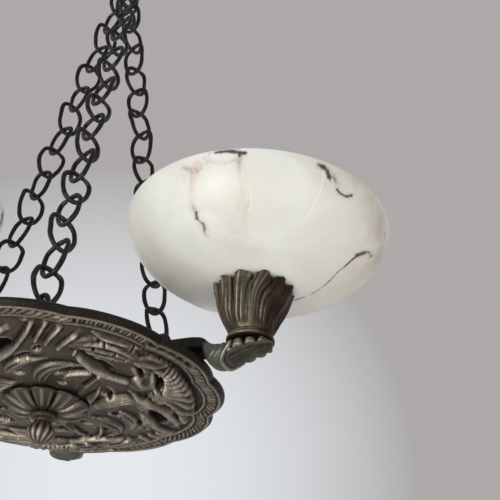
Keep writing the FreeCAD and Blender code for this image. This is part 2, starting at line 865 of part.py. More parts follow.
def ellipse_wire(reach, height, half_width, half_height):
    """An upright ellipse across the arm."""
    long_way = max(half_width, half_height)
    short_way = min(half_width, half_height)
    edge = Part.Ellipse(Vector(), long_way, short_way).toShape()
    wide = half_width >= half_height
    level = Rotation(Y_AXIS if wide else Z_AXIS, Z_AXIS if wide else -Y_AXIS, X_AXIS, "ZXY")
    wire = Part.Wire(edge)
    wire.Placement = Placement(Vector(reach, 0, height), level)
    return wire


# The neck drops to the knuckle's full size over this share of its length, in steps.
NECK_SHARE = 0.65
NECK_STEPS = 4


def eased(near, far, share):
    """A station of the arm part of the way between two others, with a smooth start and end."""
    bend = (1 - math.cos(math.pi * share)) / 2
    return [near[0] + (far[0] - near[0]) * share] + [a + (b - a) * bend for a, b in zip(near[1:], far[1:])]


def arm_shape():
    """One arm in its own upright plane: foot on the plate, neck over the rim, scrolled knuckle and
    a round seat for the cup, bored for the wires."""
    wall = size.plate_wall.value
    start = ARM_START.value
    foot_height = size.arm_foot_height.value
    foot_width = size.arm_foot_width.value
    middle = wall + foot_height / 2
    edge = size.plate_crest_radius.value + size.seat_gap.value
    reach = size.arm_reach.value
    tip = size.arm_tip_reach.value
    low = size.arm_knuckle_low.value
    half = size.arm_knuckle_half_width.value
    knuckle_height = (size.arm_knuckle_top.value + low) / 2
    knuckle_middle = (size.arm_knuckle_top.value - low) / 2
    tip_half = size.arm_tip_half.value
    neck = reach - edge
    stations = [
        (edge, middle, foot_width / 2, foot_height / 2),
        (edge + neck * NECK_SHARE, knuckle_middle, half, knuckle_height),
        (reach, knuckle_middle, half, knuckle_height),
        (tip, knuckle_middle + tip_half, tip_half, tip_half),
    ]
    sections = [ellipse_wire(start, middle, foot_width / 2, foot_height / 2)]
    for near, far in zip(stations, stations[1:]):
        sections += [ellipse_wire(*eased(near, far, step / NECK_STEPS)) for step in range(NECK_STEPS)]
    sections.append(ellipse_wire(*stations[-1]))
    body = Part.makeLoft(sections, True, True)
    foot = Part.makeBox(size.arm_foot_length.value, foot_width, foot_height, Vector(start, -foot_width / 2, wall))
    seat_top = size.arm_seat_height.value
    seat = Part.makeCylinder(size.arm_seat_radius.value, seat_top - knuckle_middle,
                             Vector(reach, 0, knuckle_middle))
    rim = Part.makeCylinder(edge, low + wall, Vector(0, 0, -low))
    shape = body.fuse([foot, seat]).cut(rim)
    return shape.cut(arm_bores(start, edge, middle, reach, seat_top)).removeSplitter()


def arm_bores(start, edge, middle, reach, seat_top):
    bore = size.arm_wire_bore.value
    thread_low = seat_top - size.arm_thread_depth.value
    bend = Vector(edge, 0, middle)
    elbow = Vector(reach, 0, thread_low)
    slope = elbow - bend
    gap = size.run_gap.value
    tools = [
        Part.makeCylinder(bore, edge - start, Vector(start, 0, middle), X_AXIS),
        Part.makeSphere(bore, bend),
        Part.makeCylinder(bore, slope.Length, bend, slope),
        Part.makeSphere(bore, elbow),
        Part.makeCylinder(size.nipple_radius.value + gap, size.arm_thread_depth.value, elbow),
    ]
    radius = size.arm_screw_radius.value + gap
    for side in (-1, 1):
        spot = Vector(start + size.arm_screw_inset.value, side * size.arm_screw_spacing.value / 2,
                      size.plate_wall.value)
        tools.append(Part.makeCylinder(radius, size.arm_foot_height.value, spot))
    return tools


def make_arms():
    shape = arm_shape()
    for number, turn in enumerate(ARM_TURNS, start=1):
        keep(formed(f"arm_cast_{number}", shape, place((0, 0, PLATE_RIM), degrees=turn)), f"arm_{number}")
    length = (size.arm_foot_height + size.arm_screw_length).value
    head_height = size.arm_screw_head_height.value
    shank = Part.makeCylinder(size.arm_screw_radius.value, length)
    head = Part.makeCylinder(size.arm_screw_head_radius.value, head_height, Vector(0, 0, length))
    screw = shank.fuse(head).removeSplitter()
    low = PLATE_TOP - size.arm_screw_length.value
    places = [place((spot.x, spot.y, low)) for spot in arm_screw_spots()]
    keep(copies("arm_screw_set", screw, places), "arm_screws")


# ---------------------------------------------------------------- cup, bowl and lamp on each arm


def cup_shape():
    """A cup of upright flutes on a stepped foot, open at the top."""
    foot = size.cup_foot_height.value
    neck_low = foot + size.cup_ring_height.value
    wall = size.cup_wall.value
    depth = size.cup_flute_depth.value
    flutes = int(size.cup_flutes.value)
    height = size.cup_height.value
    levels = [
        (neck_low, size.cup_neck_radius.value),
        ((neck_low + size.cup_belly_height.value) / 2, size.cup_waist_radius.value),
        (size.cup_belly_height.value, size.cup_belly_radius.value),
        (height, size.cup_lip_radius.value),
    ]
    wires = [lobed_wire(radius, depth, flutes, level) for level, radius in levels]
    body = Part.makeLoft(wires, True, True)
    base = turned_solid([(0, 0), (size.cup_foot_radius.value, 0), (size.cup_foot_radius.value, foot),
                         (size.cup_ring_radius.value, foot), (size.cup_ring_radius.value, neck_low),
                         (0, neck_low)])
    inner = [(radius - depth - wall, level) for level, radius in levels]
    floor = size.cup_floor.value
    hollow = turned_solid([(0, floor), (inner[0][0], floor)] + inner[1:3] + [inner[3], (0, height)])
    bore = Part.makeCylinder(size.nipple_radius.value + size.run_gap.value, height)
    return base.fuse(body).cut([hollow, bore]).removeSplitter()


def make_bowl(number, turn):
    """A half ellipsoid shell with a flat foot, a flat spot round its hole and a flat rim."""
    rim = BOWL_FOOT + size.bowl_depth - size.bowl_foot_cut
    at = at_arm(turn, rim)

    def lower_half(name, depth, radius):
        half = bind(doc.addObject("Part::Ellipsoid", name), Radius1=depth, Radius2=radius)
        half.Angle1 = -90
        half.Angle2 = 0
        half.Placement = at
        return half

    inner_depth = size.bowl_depth - size.bowl_floor
    outside = lower_half(f"bowl_outside_{number}", size.bowl_depth, size.bowl_radius)
    inside = lower_half(f"bowl_inside_{number}", inner_depth, size.bowl_radius - size.bowl_rim_wall)
    foot_trim = rod(f"bowl_foot_trim_{number}", size.bowl_radius, size.bowl_foot_cut, at_arm(turn, rim - size.bowl_depth))
    spot = rod(f"bowl_spot_{number}", size.gasket_radius + size.seat_gap, inner_depth, at_arm(turn, BOWL_FLOOR))
    hole = rod(f"bowl_hole_{number}", size.bowl_hole_radius, size.bowl_depth, at_arm(turn, rim - size.bowl_depth))
    tools = joined(f"bowl_tools_{number}", [inside, foot_trim, spot, hole])
    keep(cut(f"bowl_carved_{number}", outside, tools), f"bowl_{number}")


def make_seat(number, turn):
    """What stands in the cup under the bowl: nipple, sleeve and disc."""
    clear = size.nipple_radius + size.seat_gap
    thread_low = size.arm_seat_height - size.arm_thread_depth
    nipple_length = HOLDER_START + size.holder_base - thread_low
    keep(tube(f"nipple_turned_{number}", size.nipple_bore, size.nipple_radius, nipple_length,
              at_arm(turn, thread_low)), f"nipple_{number}")
    sleeve_low = size.arm_seat_height + size.cup_floor
    disc_low = BOWL_FOOT - size.gasket_thickness - size.seat_disc_thickness
    keep(tube(f"sleeve_turned_{number}", clear, size.sleeve_radius, disc_low - sleeve_low,
              at_arm(turn, sleeve_low)), f"spacer_sleeve_{number}")


def make_lamp(number, turn):
    base = size.holder_base
    socket = size.cap_radius + size.run_gap
    mouth_low = size.holder_height - size.holder_mouth_depth
    keep(lathe(f"holder_turned_{number}", [
        (size.nipple_radius + size.run_gap, ZERO),
        (size.holder_radius, ZERO),
        (size.holder_radius, size.holder_height),
        (size.holder_mouth_radius, size.holder_height),
        (size.holder_mouth_radius, mouth_low),
        (socket, mouth_low),
        (socket, base),
        (size.nipple_radius + size.run_gap, base),
    ], at_arm(turn, HOLDER_START)), f"lampholder_{number}")
    cap_low = HOLDER_START + base + size.contact_thickness + size.seat_gap
    keep(lathe(f"cap_turned_{number}", [
        (ZERO, ZERO),
        (size.cap_contact_radius, ZERO),
        (size.cap_radius, size.cap_contact_height),
        (size.cap_radius, size.cap_height),
        (ZERO, size.cap_height),
    ], at_arm(turn, cap_low)), f"bulb_cap_{number}")
    make_bulb_glass(number, at_arm(turn, cap_low + size.cap_height))


def make_bulb_glass(number, at):
    """A thin ball on a short neck, open where the cap closes it."""
    wall = size.bulb_wall
    neck = size.bulb_neck_radius
    ball = size.bulb_radius
    centre = size.bulb_neck_height + leg(ball, neck)
    keep(lathe(f"glass_blown_{number}", [
        (neck - wall, ZERO),
        (neck, ZERO),
        (neck, size.bulb_neck_height),
        ("arc", (ball, centre), (ZERO, centre + ball)),
        (ZERO, centre + ball - wall),
        ("arc", (ball - wall, centre), (neck - wall, centre - leg(ball - wall, neck - wall))),
    ], at), f"bulb_glass_{number}")


def make_lights():
    cup = cup_shape()
    for number, turn in enumerate(ARM_TURNS, start=1):
        keep(formed(f"cup_cast_{number}", cup, at_arm(turn, size.arm_seat_height)), f"cup_{number}")
        make_seat(number, turn)
        make_bowl(number, turn)
        make_lamp(number, turn)


def make_clamp_sets():
    """The discs, gaskets, washers, nuts and contacts, one of each kind on every arm."""
    clear = size.nipple_radius.value + size.seat_gap.value
    bore = size.nipple_radius.value + size.run_gap.value

    def ring(inner, outer, height):
        return turned_solid([(inner, 0), (outer, 0), (outer, height), (inner, height)])

    thin = size.gasket_thickness.value
    disc = ring(clear, size.seat_disc_radius.value, size.seat_disc_thickness.value)
    gasket = ring(clear, size.gasket_radius.value, thin)
    washer = ring(bore, size.clamp_washer_radius.value, size.washer_thickness.value)
    corner = size.clamp_nut_flats.value / math.sqrt(3)
    height = size.clamp_nut_height.value
    hexagon_corners = [along(60 * side, corner) for side in range(7)]
    nut = Part.Face(Part.makePolygon(hexagon_corners)).extrude(Vector(0, 0, height))
    nut = nut.cut(Part.makeCylinder(bore, height))
    contact = ring(size.holder_wire_bore.value, size.contact_radius.value, size.contact_thickness.value)
    sets = {
        "seat_discs": (disc, [BOWL_FOOT - size.gasket_thickness - size.seat_disc_thickness]),
        "gaskets": (gasket, [BOWL_FOOT - size.gasket_thickness, BOWL_FLOOR]),
        "clamp_washers": (washer, [WASHER_BASE]),
        "clamp_nuts": (nut, [CLAMP_NUT_BASE]),
        "lamp_contacts": (contact, [HOLDER_START + size.holder_base]),
    }
    for label, (shape, heights) in sets.items():
        places = [at_arm(turn, height) for turn in ARM_TURNS for height in heights]
        keep(copies(label + "_set", shape, places), label)


# ---------------------------------------------------------------- build, check and write


def check_all():
    for obj in doc.Objects:
        bad = {"Invalid", "Error"} & set(obj.State)
        if bad:
            raise RuntimeError(f"{obj.Name} is {obj.State}")
    for obj in sub_parts:
        if obj.Shape.isNull() or not obj.Shape.isValid() or obj.Shape.Volume <= 0:
            raise RuntimeError(f"{obj.Label} has no valid shape")


def main():
    make_bracket()
    make_hook()
    make_canopy()
    make_hanging_link()
    make_gather_ring()
    make_chains()
    make_plate()
    make_cover()
    make_centre()
    make_terminal_block()
    make_arms()
    make_lights()
    make_clamp_sets()
    doc.recompute()
    check_all()
    os.makedirs("parts", exist_ok=True)
    for obj in sub_parts:
        obj.Shape.exportStep(os.path.join("parts", obj.Label + ".step"))
    print(f"{len(sub_parts)} parts, plate rim at {PLATE_RIM:.2f} mm")


main()
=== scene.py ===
import json
import math

import bpy
import numpy as np
from mathutils import Matrix, Vector


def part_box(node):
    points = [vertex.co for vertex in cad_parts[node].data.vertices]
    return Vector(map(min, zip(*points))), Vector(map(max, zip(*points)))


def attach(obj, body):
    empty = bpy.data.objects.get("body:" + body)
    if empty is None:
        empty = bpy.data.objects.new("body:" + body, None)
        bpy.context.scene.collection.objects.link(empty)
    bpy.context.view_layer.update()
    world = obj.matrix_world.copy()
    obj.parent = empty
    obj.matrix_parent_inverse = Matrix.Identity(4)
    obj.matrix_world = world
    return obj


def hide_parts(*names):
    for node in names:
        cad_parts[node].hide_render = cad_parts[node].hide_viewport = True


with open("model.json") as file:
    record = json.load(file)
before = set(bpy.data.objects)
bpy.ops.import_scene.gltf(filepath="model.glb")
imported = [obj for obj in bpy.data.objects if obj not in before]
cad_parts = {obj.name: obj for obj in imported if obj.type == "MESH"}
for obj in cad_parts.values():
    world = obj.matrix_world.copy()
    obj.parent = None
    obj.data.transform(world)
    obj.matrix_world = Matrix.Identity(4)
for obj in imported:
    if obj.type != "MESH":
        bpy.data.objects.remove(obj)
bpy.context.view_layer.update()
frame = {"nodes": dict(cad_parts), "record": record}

# The looks of an alabaster bowl pendant: a cast relief plate hung on hand-bent wire chains, with
# three leaf arms, each carrying a fluted cup and an open alabaster bowl.
# Lengths are millimetres and turned to metres where a mesh is made.

MM = 0.001
RNG = np.random.default_rng(12)


def frame_box(node):
    """A node's lowest and highest corner, in millimetres."""
    low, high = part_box(node)
    return np.array(low) / MM, np.array(high) / MM


PLATE_TOP = frame_box("relief_plate")[1][2]
PLATE_WALL = 9.5
RIM = PLATE_TOP - PLATE_WALL
ARM_NUMBERS = (1, 2, 3)
CHAIN_NAMES = ("right", "back", "front")


def arm_axis(number):
    low, high = frame_box(f"bulb_cap_{number}")
    return (low + high) / 2




# ---------------------------------------------------------------- camera, light and stage

CAMERA_SPOT = (-232.4, -619.0, -277.5)   # from the centre of the plate's rim
CAMERA_TURN = 33.43                      # degrees from +Y towards +X
CAMERA_TILT = 32.99                      # degrees above the horizon
CAMERA_ROLL = -4.21
LENS_TO_WIDTH = 892.7 / 500.0            # focal length over the picture's width
SENSOR = 36.0


def make_camera():
    turn, tilt, roll = (math.radians(v) for v in (CAMERA_TURN, CAMERA_TILT, CAMERA_ROLL))
    ahead = Vector((math.sin(turn) * math.cos(tilt), math.cos(turn) * math.cos(tilt), math.sin(tilt)))
    level = Vector((math.cos(turn), -math.sin(turn), 0))
    above = level.cross(ahead)
    right = level * math.cos(roll) - above * math.sin(roll)
    up = level * math.sin(roll) + above * math.cos(roll)
    data = bpy.data.cameras.new("camera")
    data.sensor_width = SENSOR
    data.lens = LENS_TO_WIDTH * SENSOR
    data.clip_start = 0.01
    data.clip_end = 50
    camera = bpy.data.objects.new("camera", data)
    axes = Matrix((right, up, -ahead)).transposed().to_4x4()
    spot = Vector(CAMERA_SPOT) + Vector((0, 0, RIM))
    camera.matrix_world = Matrix.Translation(spot * MM) @ axes
    bpy.context.scene.collection.objects.link(camera)
    bpy.context.scene.camera = camera


def area_light(name, spot, aim, size, power, colour=(1, 1, 1)):
    data = bpy.data.lights.new(name, "AREA")
    data.shape = "DISK"
    data.size = size
    data.energy = power
    data.color = colour
    light = bpy.data.objects.new(name, data)
    light.location = spot
    light.rotation_mode = "QUATERNION"
    light.rotation_quaternion = (Vector(aim) - Vector(spot)).to_track_quat("-Z", "Y")
    bpy.context.scene.collection.objects.link(light)


FLOOR_DROP = 2.4          # metres under the ceiling
FLOOR_SIDE = 8.0
WALL_BRIGHT = (0.79, 0.82, 0.86)
WALL_DIM = (0.415, 0.400, 0.395)
BRIGHT_WAY = (0.400, 0.864, 0.305)   # the lightest part of the wall, low at the left
BRIGHT_REACH = 19.61                    # degrees from there to the even tone
AMBIENT = 0.64


def make_stage():
    side = FLOOR_SIDE / 2
    mesh = bpy.data.meshes.new("floor")
    corners = [(x, y, -FLOOR_DROP) for x, y in ((-side, -side), (side, -side), (side, side), (-side, side))]
    mesh.from_pydata(corners, [], [(0, 1, 2, 3)])
    floor = bpy.data.objects.new("floor", mesh)
    bpy.context.scene.collection.objects.link(floor)
    paint = new_material("floor_paint")
    nodes = paint.node_tree.nodes
    nodes["Principled BSDF"].inputs["Base Color"].default_value = (0.62, 0.61, 0.60, 1)
    nodes["Principled BSDF"].inputs["Roughness"].default_value = 0.8
    mesh.materials.append(paint)
    centre = (0, 0, RIM * MM)
    area_light("window", (-1.6, -0.5, -1.75), centre, 1.6, 21, (1, 1, 0.975))
    area_light("room", (0.2, -1.7, -2.0), centre, 1.5, 7, (1, 0.98, 0.95))
    area_light("rear", (0.6, 1.9, -0.4), centre, 1.6, 3)
    make_world()


def make_world():
    """An even soft light, and a pale wall behind the object with a slow change of tone: a painted fall of light,
    brightest low at the left.
    """
    world = bpy.data.worlds.new("room")
    bpy.context.scene.world = world
    world.use_nodes = True
    tree = world.node_tree
    tree.nodes.clear()
    out = tree.nodes.new("ShaderNodeOutputWorld")
    mix = tree.nodes.new("ShaderNodeMixShader")
    soft = tree.nodes.new("ShaderNodeBackground")
    soft.inputs["Color"].default_value = (1, 1, 1, 1)
    soft.inputs["Strength"].default_value = AMBIENT
    wall = tree.nodes.new("ShaderNodeBackground")
    wall.inputs["Strength"].default_value = 1
    path = tree.nodes.new("ShaderNodeLightPath")
    seen = path.outputs["Is Camera Ray"]
    for kind in ("Is Transmission Ray", "Is Glossy Ray"):
        either = tree.nodes.new("ShaderNodeMath")
        either.operation = "MAXIMUM"
        tree.links.new(seen, either.inputs[0])
        tree.links.new(path.outputs[kind], either.inputs[1])
        seen = either.outputs[0]
    way = tree.nodes.new("ShaderNodeTexCoord")
    across = tree.nodes.new("ShaderNodeVectorMath")
    across.operation = "DOT_PRODUCT"
    across.inputs[1].default_value = BRIGHT_WAY
    ramp = tree.nodes.new("ShaderNodeMapRange")
    ramp.inputs["From Min"].default_value = math.cos(math.radians(BRIGHT_REACH))
    ramp.inputs["From Max"].default_value = 1.0
    tone = tree.nodes.new("ShaderNodeMix")
    tone.data_type = "RGBA"
    tone.inputs["A"].default_value = (*WALL_DIM, 1)
    tone.inputs["B"].default_value = (*WALL_BRIGHT, 1)
    tree.links.new(way.outputs["Generated"], across.inputs[0])
    tree.links.new(across.outputs["Value"], ramp.inputs["Value"])
    tree.links.new(ramp.outputs["Result"], tone.inputs["Factor"])
    tree.links.new(tone.outputs["Result"], wall.inputs["Color"])
    tree.links.new(seen, mix.inputs[0])
    tree.links.new(soft.outputs[0], mix.inputs[1])
    tree.links.new(wall.outputs[0], mix.inputs[2])
    tree.links.new(mix.outputs[0], out.inputs["Surface"])
    bpy.context.scene.view_settings.view_transform = "Standard"


# ---------------------------------------------------------------- material building blocks


def new_material(name):
    material = bpy.data.materials.new(name)
    material.use_nodes = True
    return material


class Shader:
    """A material's node tree with short ways to add and join nodes."""

    def __init__(self, name):
        self.material = new_material(name)
        self.tree = self.material.node_tree
        self.surface = self.tree.nodes["Principled BSDF"]
        self.place = self.tree.nodes.new("ShaderNodeTexCoord").outputs["Object"]

    def set(self, **values):
        for key, value in values.items():
            self.surface.inputs[key.replace("_", " ")].default_value = value
        return self

    def link(self, source, target):
        self.tree.links.new(source, target)

    def feed(self, node, slot, value):
        if isinstance(value, bpy.types.NodeSocket):
            self.link(value, node.inputs[slot])
        elif isinstance(value, (tuple, list)) and len(value) == 3 and node.inputs[slot].type == "RGBA":
            node.inputs[slot].default_value = (*value, 1)
        else:
            node.inputs[slot].default_value = value

    def noise(self, scale, detail=4.0, rough=0.55, place=None, warp=0.0):
        """Noise whose scale is in waves per metre."""
        node = self.tree.nodes.new("ShaderNodeTexNoise")
        self.link(place or self.place, node.inputs["Vector"])
        for slot, value in (("Scale", scale), ("Detail", detail), ("Roughness", rough), ("Distortion", warp)):
            node.inputs[slot].default_value = value
        return node.outputs["Fac"]

    def stretched(self, x, y, z, turn=(0, 0, 0)):
        node = self.tree.nodes.new("ShaderNodeMapping")
        self.link(self.place, node.inputs["Vector"])
        node.inputs["Scale"].default_value = (x, y, z)
        node.inputs["Rotation"].default_value = turn
        return node.outputs["Vector"]

    def spread(self, value, low, high, to_low=0.0, to_high=1.0):
        node = self.tree.nodes.new("ShaderNodeMapRange")
        node.interpolation_type = "SMOOTHSTEP"
        self.link(value, node.inputs["Value"])
        for slot, number in (("From Min", low), ("From Max", high), ("To Min", to_low), ("To Max", to_high)):
            node.inputs[slot].default_value = number
        return node.outputs["Result"]

    def sum(self, operation, first, second):
        node = self.tree.nodes.new("ShaderNodeMath")
        node.operation = operation
        self.feed(node, 0, first)
        self.feed(node, 1, second)
        return node.outputs[0]

    def mix(self, share, first, second, blend="MIX"):
        node = self.tree.nodes.new("ShaderNodeMix")
        node.data_type = "RGBA"
        node.blend_type = blend
        for slot, value in (("Factor", share), ("A", first), ("B", second)):
            target = next(s for s in node.inputs if s.name == slot and s.enabled)
            if isinstance(value, bpy.types.NodeSocket):
                self.link(value, target)
            elif isinstance(value, (tuple, list)):
                target.default_value = (*value, 1)
            else:
                target.default_value = value
        return next(s for s in node.outputs if s.enabled)

    def field(self, name):
        """A value that the mesh carries at each point."""
        node = self.tree.nodes.new("ShaderNodeAttribute")
        node.attribute_name = name
        return node.outputs["Fac"]

    def colour(self, value):
        self.link(value, self.surface.inputs["Base Color"])

    def roughness(self, value):
        self.link(value, self.surface.inputs["Roughness"])

    def bump(self, height, depth, strength=1.0):
        """Bump whose full height is in metres."""
        node = self.tree.nodes.new("ShaderNodeBump")
        node.inputs["Distance"].default_value = depth
        node.inputs["Strength"].default_value = strength
        self.link(height, node.inputs["Height"])
        self.link(node.outputs["Normal"], self.surface.inputs["Normal"])


# ---------------------------------------------------------------- materials


def cast_bronze(name, body, patina, bright, dark, metal=0.75, rough=0.42, patina_share=0.5):
    """Cast bronze: patina in soft clouds, painted shade in the hollows, ridges lightened by rubbed wear and a
    painted highlight, painted shade on one side, fine pits.
    """
    s = Shader(name).set(Metallic=metal)
    cloud = s.spread(s.noise(28, 5, 0.6), 0.42, 0.62)
    tone = s.mix(s.sum("MULTIPLY", cloud, patina_share), body, patina)
    warm = s.spread(s.noise(60, 3, 0.5, warp=0.6), 0.56, 0.72)
    tone = s.mix(s.sum("MULTIPLY", warm, 0.35), tone, tuple(c * f for c, f in zip(body, (1.5, 1.1, 0.75))))
    grain = s.noise(420, 3, 0.6)
    tone = s.mix(s.spread(grain, 0.35, 0.7, 0.0, 0.30), tone, dark)
    # painted shade: recesses are darkened towards the dark tone
    painted_shade = s.sum("MINIMUM", s.field("painted_shade"), 1.0)
    tone = s.mix(painted_shade, tone, dark)
    # partly rubbed metal and partly painted highlight: crests are lightened towards the bright tone
    wear_and_highlight_share = s.sum("MULTIPLY", s.field("wear_and_highlight"), s.spread(s.noise(150, 3, 0.5), 0.25, 0.6, 0.45, 1.0))
    tone = s.mix(s.sum("MINIMUM", wear_and_highlight_share, 1.0), tone, bright)
    # painted shade: the side away from the light is darkened to a near black-brown
    painted_side_shade = s.sum("MULTIPLY", s.field("painted_side_shade"), s.spread(s.noise(70, 4, 0.6), 0.3, 0.55, 0.72, 1.0))
    tone = s.mix(painted_side_shade, tone, (0.030, 0.015, 0.008))
    s.colour(tone)
    s.roughness(s.spread(grain, 0.2, 0.8, rough - 0.10, rough + 0.16))
    s.bump(s.sum("ADD", grain, s.sum("MULTIPLY", s.noise(110, 4, 0.6), 1.6)), 0.00025)
    return s.material


def old_iron(name):
    """Black-brown wire, oiled and a little rusty."""
    s = Shader(name).set(Metallic=0.35)
    rust = s.spread(s.noise(240, 4, 0.6), 0.52, 0.70)
    tone = s.mix(rust, (0.009, 0.008, 0.0075), (0.030, 0.020, 0.014))
    tone = s.mix(s.sum("MULTIPLY", s.field("wear_and_highlight"), 0.5), tone, (0.09, 0.08, 0.07))
    s.colour(tone)
    s.roughness(s.spread(rust, 0, 1, 0.36, 0.60))
    s.bump(s.noise(900, 3, 0.6), 0.00018)
    return s.material


def alabaster(name):
    """Pale waxy stone: milky clouds, brown and grey veins, cream seams and warm stains; the vein mask also
    carries one painted shadow line.
    """
    s = Shader(name).set(IOR=1.52, Subsurface_Weight=0.35, Subsurface_Scale=0.012)
    s.surface.inputs["Subsurface Radius"].default_value = (1.0, 0.92, 0.78)
    drift = s.noise(14, 4, 0.5, place=s.stretched(1, 1, 2.2), warp=0.8)
    tone = s.mix(s.spread(drift, 0.35, 0.7), (0.790, 0.785, 0.725), (0.868, 0.868, 0.838))
    tone = s.mix(s.sum("MULTIPLY", s.spread(s.noise(34, 4, 0.6, warp=1.2), 0.5, 0.75), 0.35),
                 tone, (0.83, 0.79, 0.71))
    blotch = s.noise(75, 4, 0.6, warp=0.5)
    ragged = s.noise(430, 5, 0.7)
    patchy = s.spread(blotch, 0.30, 0.62, 0.45, 1.0)
    tone = s.mix(s.sum("MULTIPLY", s.field("blush"), patchy), tone, (0.68, 0.565, 0.470))
    tone = s.mix(s.sum("MULTIPLY", s.field("tan"), patchy), tone, (0.33, 0.245, 0.175))
    tone = s.mix(s.spread(s.field("cream"), 0.25, 0.75, 0.0, 0.8), tone, (0.93, 0.885, 0.76))
    edge = s.sum("ADD", s.sum("MULTIPLY", s.sum("SUBTRACT", blotch, 0.5), 1.0),
                 s.sum("MULTIPLY", s.sum("SUBTRACT", ragged, 0.5), 0.8))
    smoke = s.spread(s.sum("ADD", s.field("smoke"), edge), 0.22, 1.0, 0.0, 0.72)
    tone = s.mix(smoke, tone, (0.20, 0.155, 0.125))
    close = s.field("vein")
    halo = s.spread(s.sum("ADD", close, s.sum("MULTIPLY", edge, 0.55)), 0.50, 1.0, 0.0, 0.50)
    tone = s.mix(halo, tone, (0.31, 0.24, 0.19))
    core = s.spread(s.sum("ADD", close, s.sum("MULTIPLY", edge, 0.42)), 0.72, 0.93, 0.0, 0.94)
    tone = s.mix(core, tone, (0.045, 0.033, 0.027))
    s.colour(tone)
    s.roughness(s.spread(drift, 0.3, 0.8, 0.30, 0.42))
    s.bump(s.noise(70, 3, 0.5), 0.0003, 0.5)
    return s.material


def plain_metal(name, tint, stain, rough, grain_scale=500):
    s = Shader(name).set(Metallic=1.0)
    cloud = s.spread(s.noise(45, 4, 0.6), 0.4, 0.68)
    s.colour(s.mix(cloud, tint, stain))
    fine = s.noise(grain_scale, 3, 0.6, place=s.stretched(1, 1, 0.15))
    s.roughness(s.spread(fine, 0.3, 0.7, rough - 0.06, rough + 0.12))
    s.bump(fine, 0.0001, 0.6)
    return s.material


def matte(name, tint, other, scale, rough, depth=0.0002):
    s = Shader(name)
    cloud = s.noise(scale, 4, 0.6)
    s.colour(s.mix(s.spread(cloud, 0.35, 0.7), tint, other))
    s.roughness(s.spread(cloud, 0.3, 0.7, rough - 0.08, rough + 0.08))
    s.bump(cloud, depth, 0.6)
    return s.material


def porcelain(name):
    s = Shader(name).set(Coat_Weight=0.8, Coat_Roughness=0.08)
    speck = s.spread(s.noise(700, 2, 0.5), 0.68, 0.75)
    s.colour(s.mix(speck, (0.84, 0.83, 0.79), (0.55, 0.48, 0.40)))
    s.roughness(s.spread(s.noise(60), 0.3, 0.7, 0.22, 0.34))
    return s.material


def opal_glass(name):
    s = Shader(name).set(Transmission_Weight=0.06, IOR=1.46, Coat_Weight=0.5, Coat_Roughness=0.1)
    mist = s.noise(40, 3, 0.5)
    s.colour(s.mix(s.spread(mist, 0.35, 0.7), (0.90, 0.89, 0.85), (0.95, 0.94, 0.92)))
    s.roughness(s.spread(mist, 0.3, 0.7, 0.22, 0.32))
    return s.material


def make_materials():
    return {
        "bronze": cast_bronze("bronze_plate", (0.112, 0.090, 0.068), (0.088, 0.094, 0.078),
                              (0.50, 0.43, 0.35), (0.008, 0.006, 0.005), rough=0.36),
        "arm_bronze": cast_bronze("bronze_arm", (0.135, 0.128, 0.100), (0.150, 0.170, 0.155),
                                  (0.66, 0.62, 0.50), (0.016, 0.013, 0.010), patina_share=0.9),
        "cup_bronze": cast_bronze("bronze_cup", (0.125, 0.100, 0.068), (0.118, 0.124, 0.100),
                                  (0.78, 0.68, 0.46), (0.012, 0.009, 0.006), rough=0.34),
        "canopy_bronze": cast_bronze("bronze_canopy", (0.105, 0.082, 0.058), (0.085, 0.088, 0.070),
                                     (0.3, 0.26, 0.2), (0.02, 0.016, 0.012), rough=0.38),
        "iron": old_iron("wire_iron"),
        "alabaster": alabaster("alabaster_stone"),
        "brass": plain_metal("aged_brass", (0.56, 0.41, 0.19), (0.30, 0.21, 0.11), 0.34),
        "steel": plain_metal("zinc_steel", (0.56, 0.56, 0.55), (0.36, 0.35, 0.33), 0.36),
        "porcelain": porcelain("white_porcelain"),
        "bulb_glass": opal_glass("opal_glass"),
        "rubber": matte("black_rubber", (0.022, 0.022, 0.022), (0.040, 0.038, 0.036), 300, 0.72),
        "fibre": matte("red_fibre", (0.30, 0.15, 0.085), (0.22, 0.10, 0.06), 500, 0.8),
        "terminal_plastic": matte("ivory_plastic", (0.72, 0.69, 0.60), (0.66, 0.62, 0.53), 90, 0.42),
    }


MATERIALS = make_materials()


def dress_cad_nodes():
    """Every node of the frame takes the material of its slot."""
    slots = {part["node"]: part["material_slot"] for part in frame["record"]["subparts"]}
    for node, obj in frame["nodes"].items():
        material = MATERIALS[slots[node]]
        if not obj.data.materials:
            obj.data.materials.append(material)
        for index in range(len(obj.data.materials)):
            obj.data.materials[index] = material


# ---------------------------------------------------------------- mesh building blocks


def grid_faces(rows, columns, close_rows=True):
    """Quads over a grid of points, rows by columns. The columns meet, and the rows may."""
    row = np.arange(rows if close_rows else rows - 1)
    row, column = np.meshgrid(row, np.arange(columns), indexing="ij")
    next_row = (row + 1) % rows
    next_column = (column + 1) % columns
    quads = (row * columns + column, row * columns + next_column,
             next_row * columns + next_column, next_row * columns + column)
    return np.stack(quads, -1).reshape(-1, 4)


def end_cap(ring, flip):
    """A face that closes a tube at a ring of its points."""
    return [list(ring[::-1] if flip else ring)]


def make_piece(name, points, faces, slot, body, replaced=(), fields=None):
    """A smooth mesh in place, with the values it carries, its finish and the body it rides on."""
    mesh = bpy.data.meshes.new(name)
    faces = faces if isinstance(faces, list) else faces.tolist()
    mesh.from_pydata((np.asarray(points) * MM).tolist(), [], faces)
    mesh.shade_smooth()
    for key, values in (fields or {}).items():
        layer = mesh.attributes.new(key, "FLOAT", "POINT")
        layer.data.foreach_set("value", np.asarray(values, np.float32).ravel())
    mesh.materials.append(MATERIALS[slot])
    piece = bpy.data.objects.new(name, mesh)
    bpy.context.scene.collection.objects.link(piece)
    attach(piece, body)
    if replaced:
        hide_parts(*replaced)
    return piece


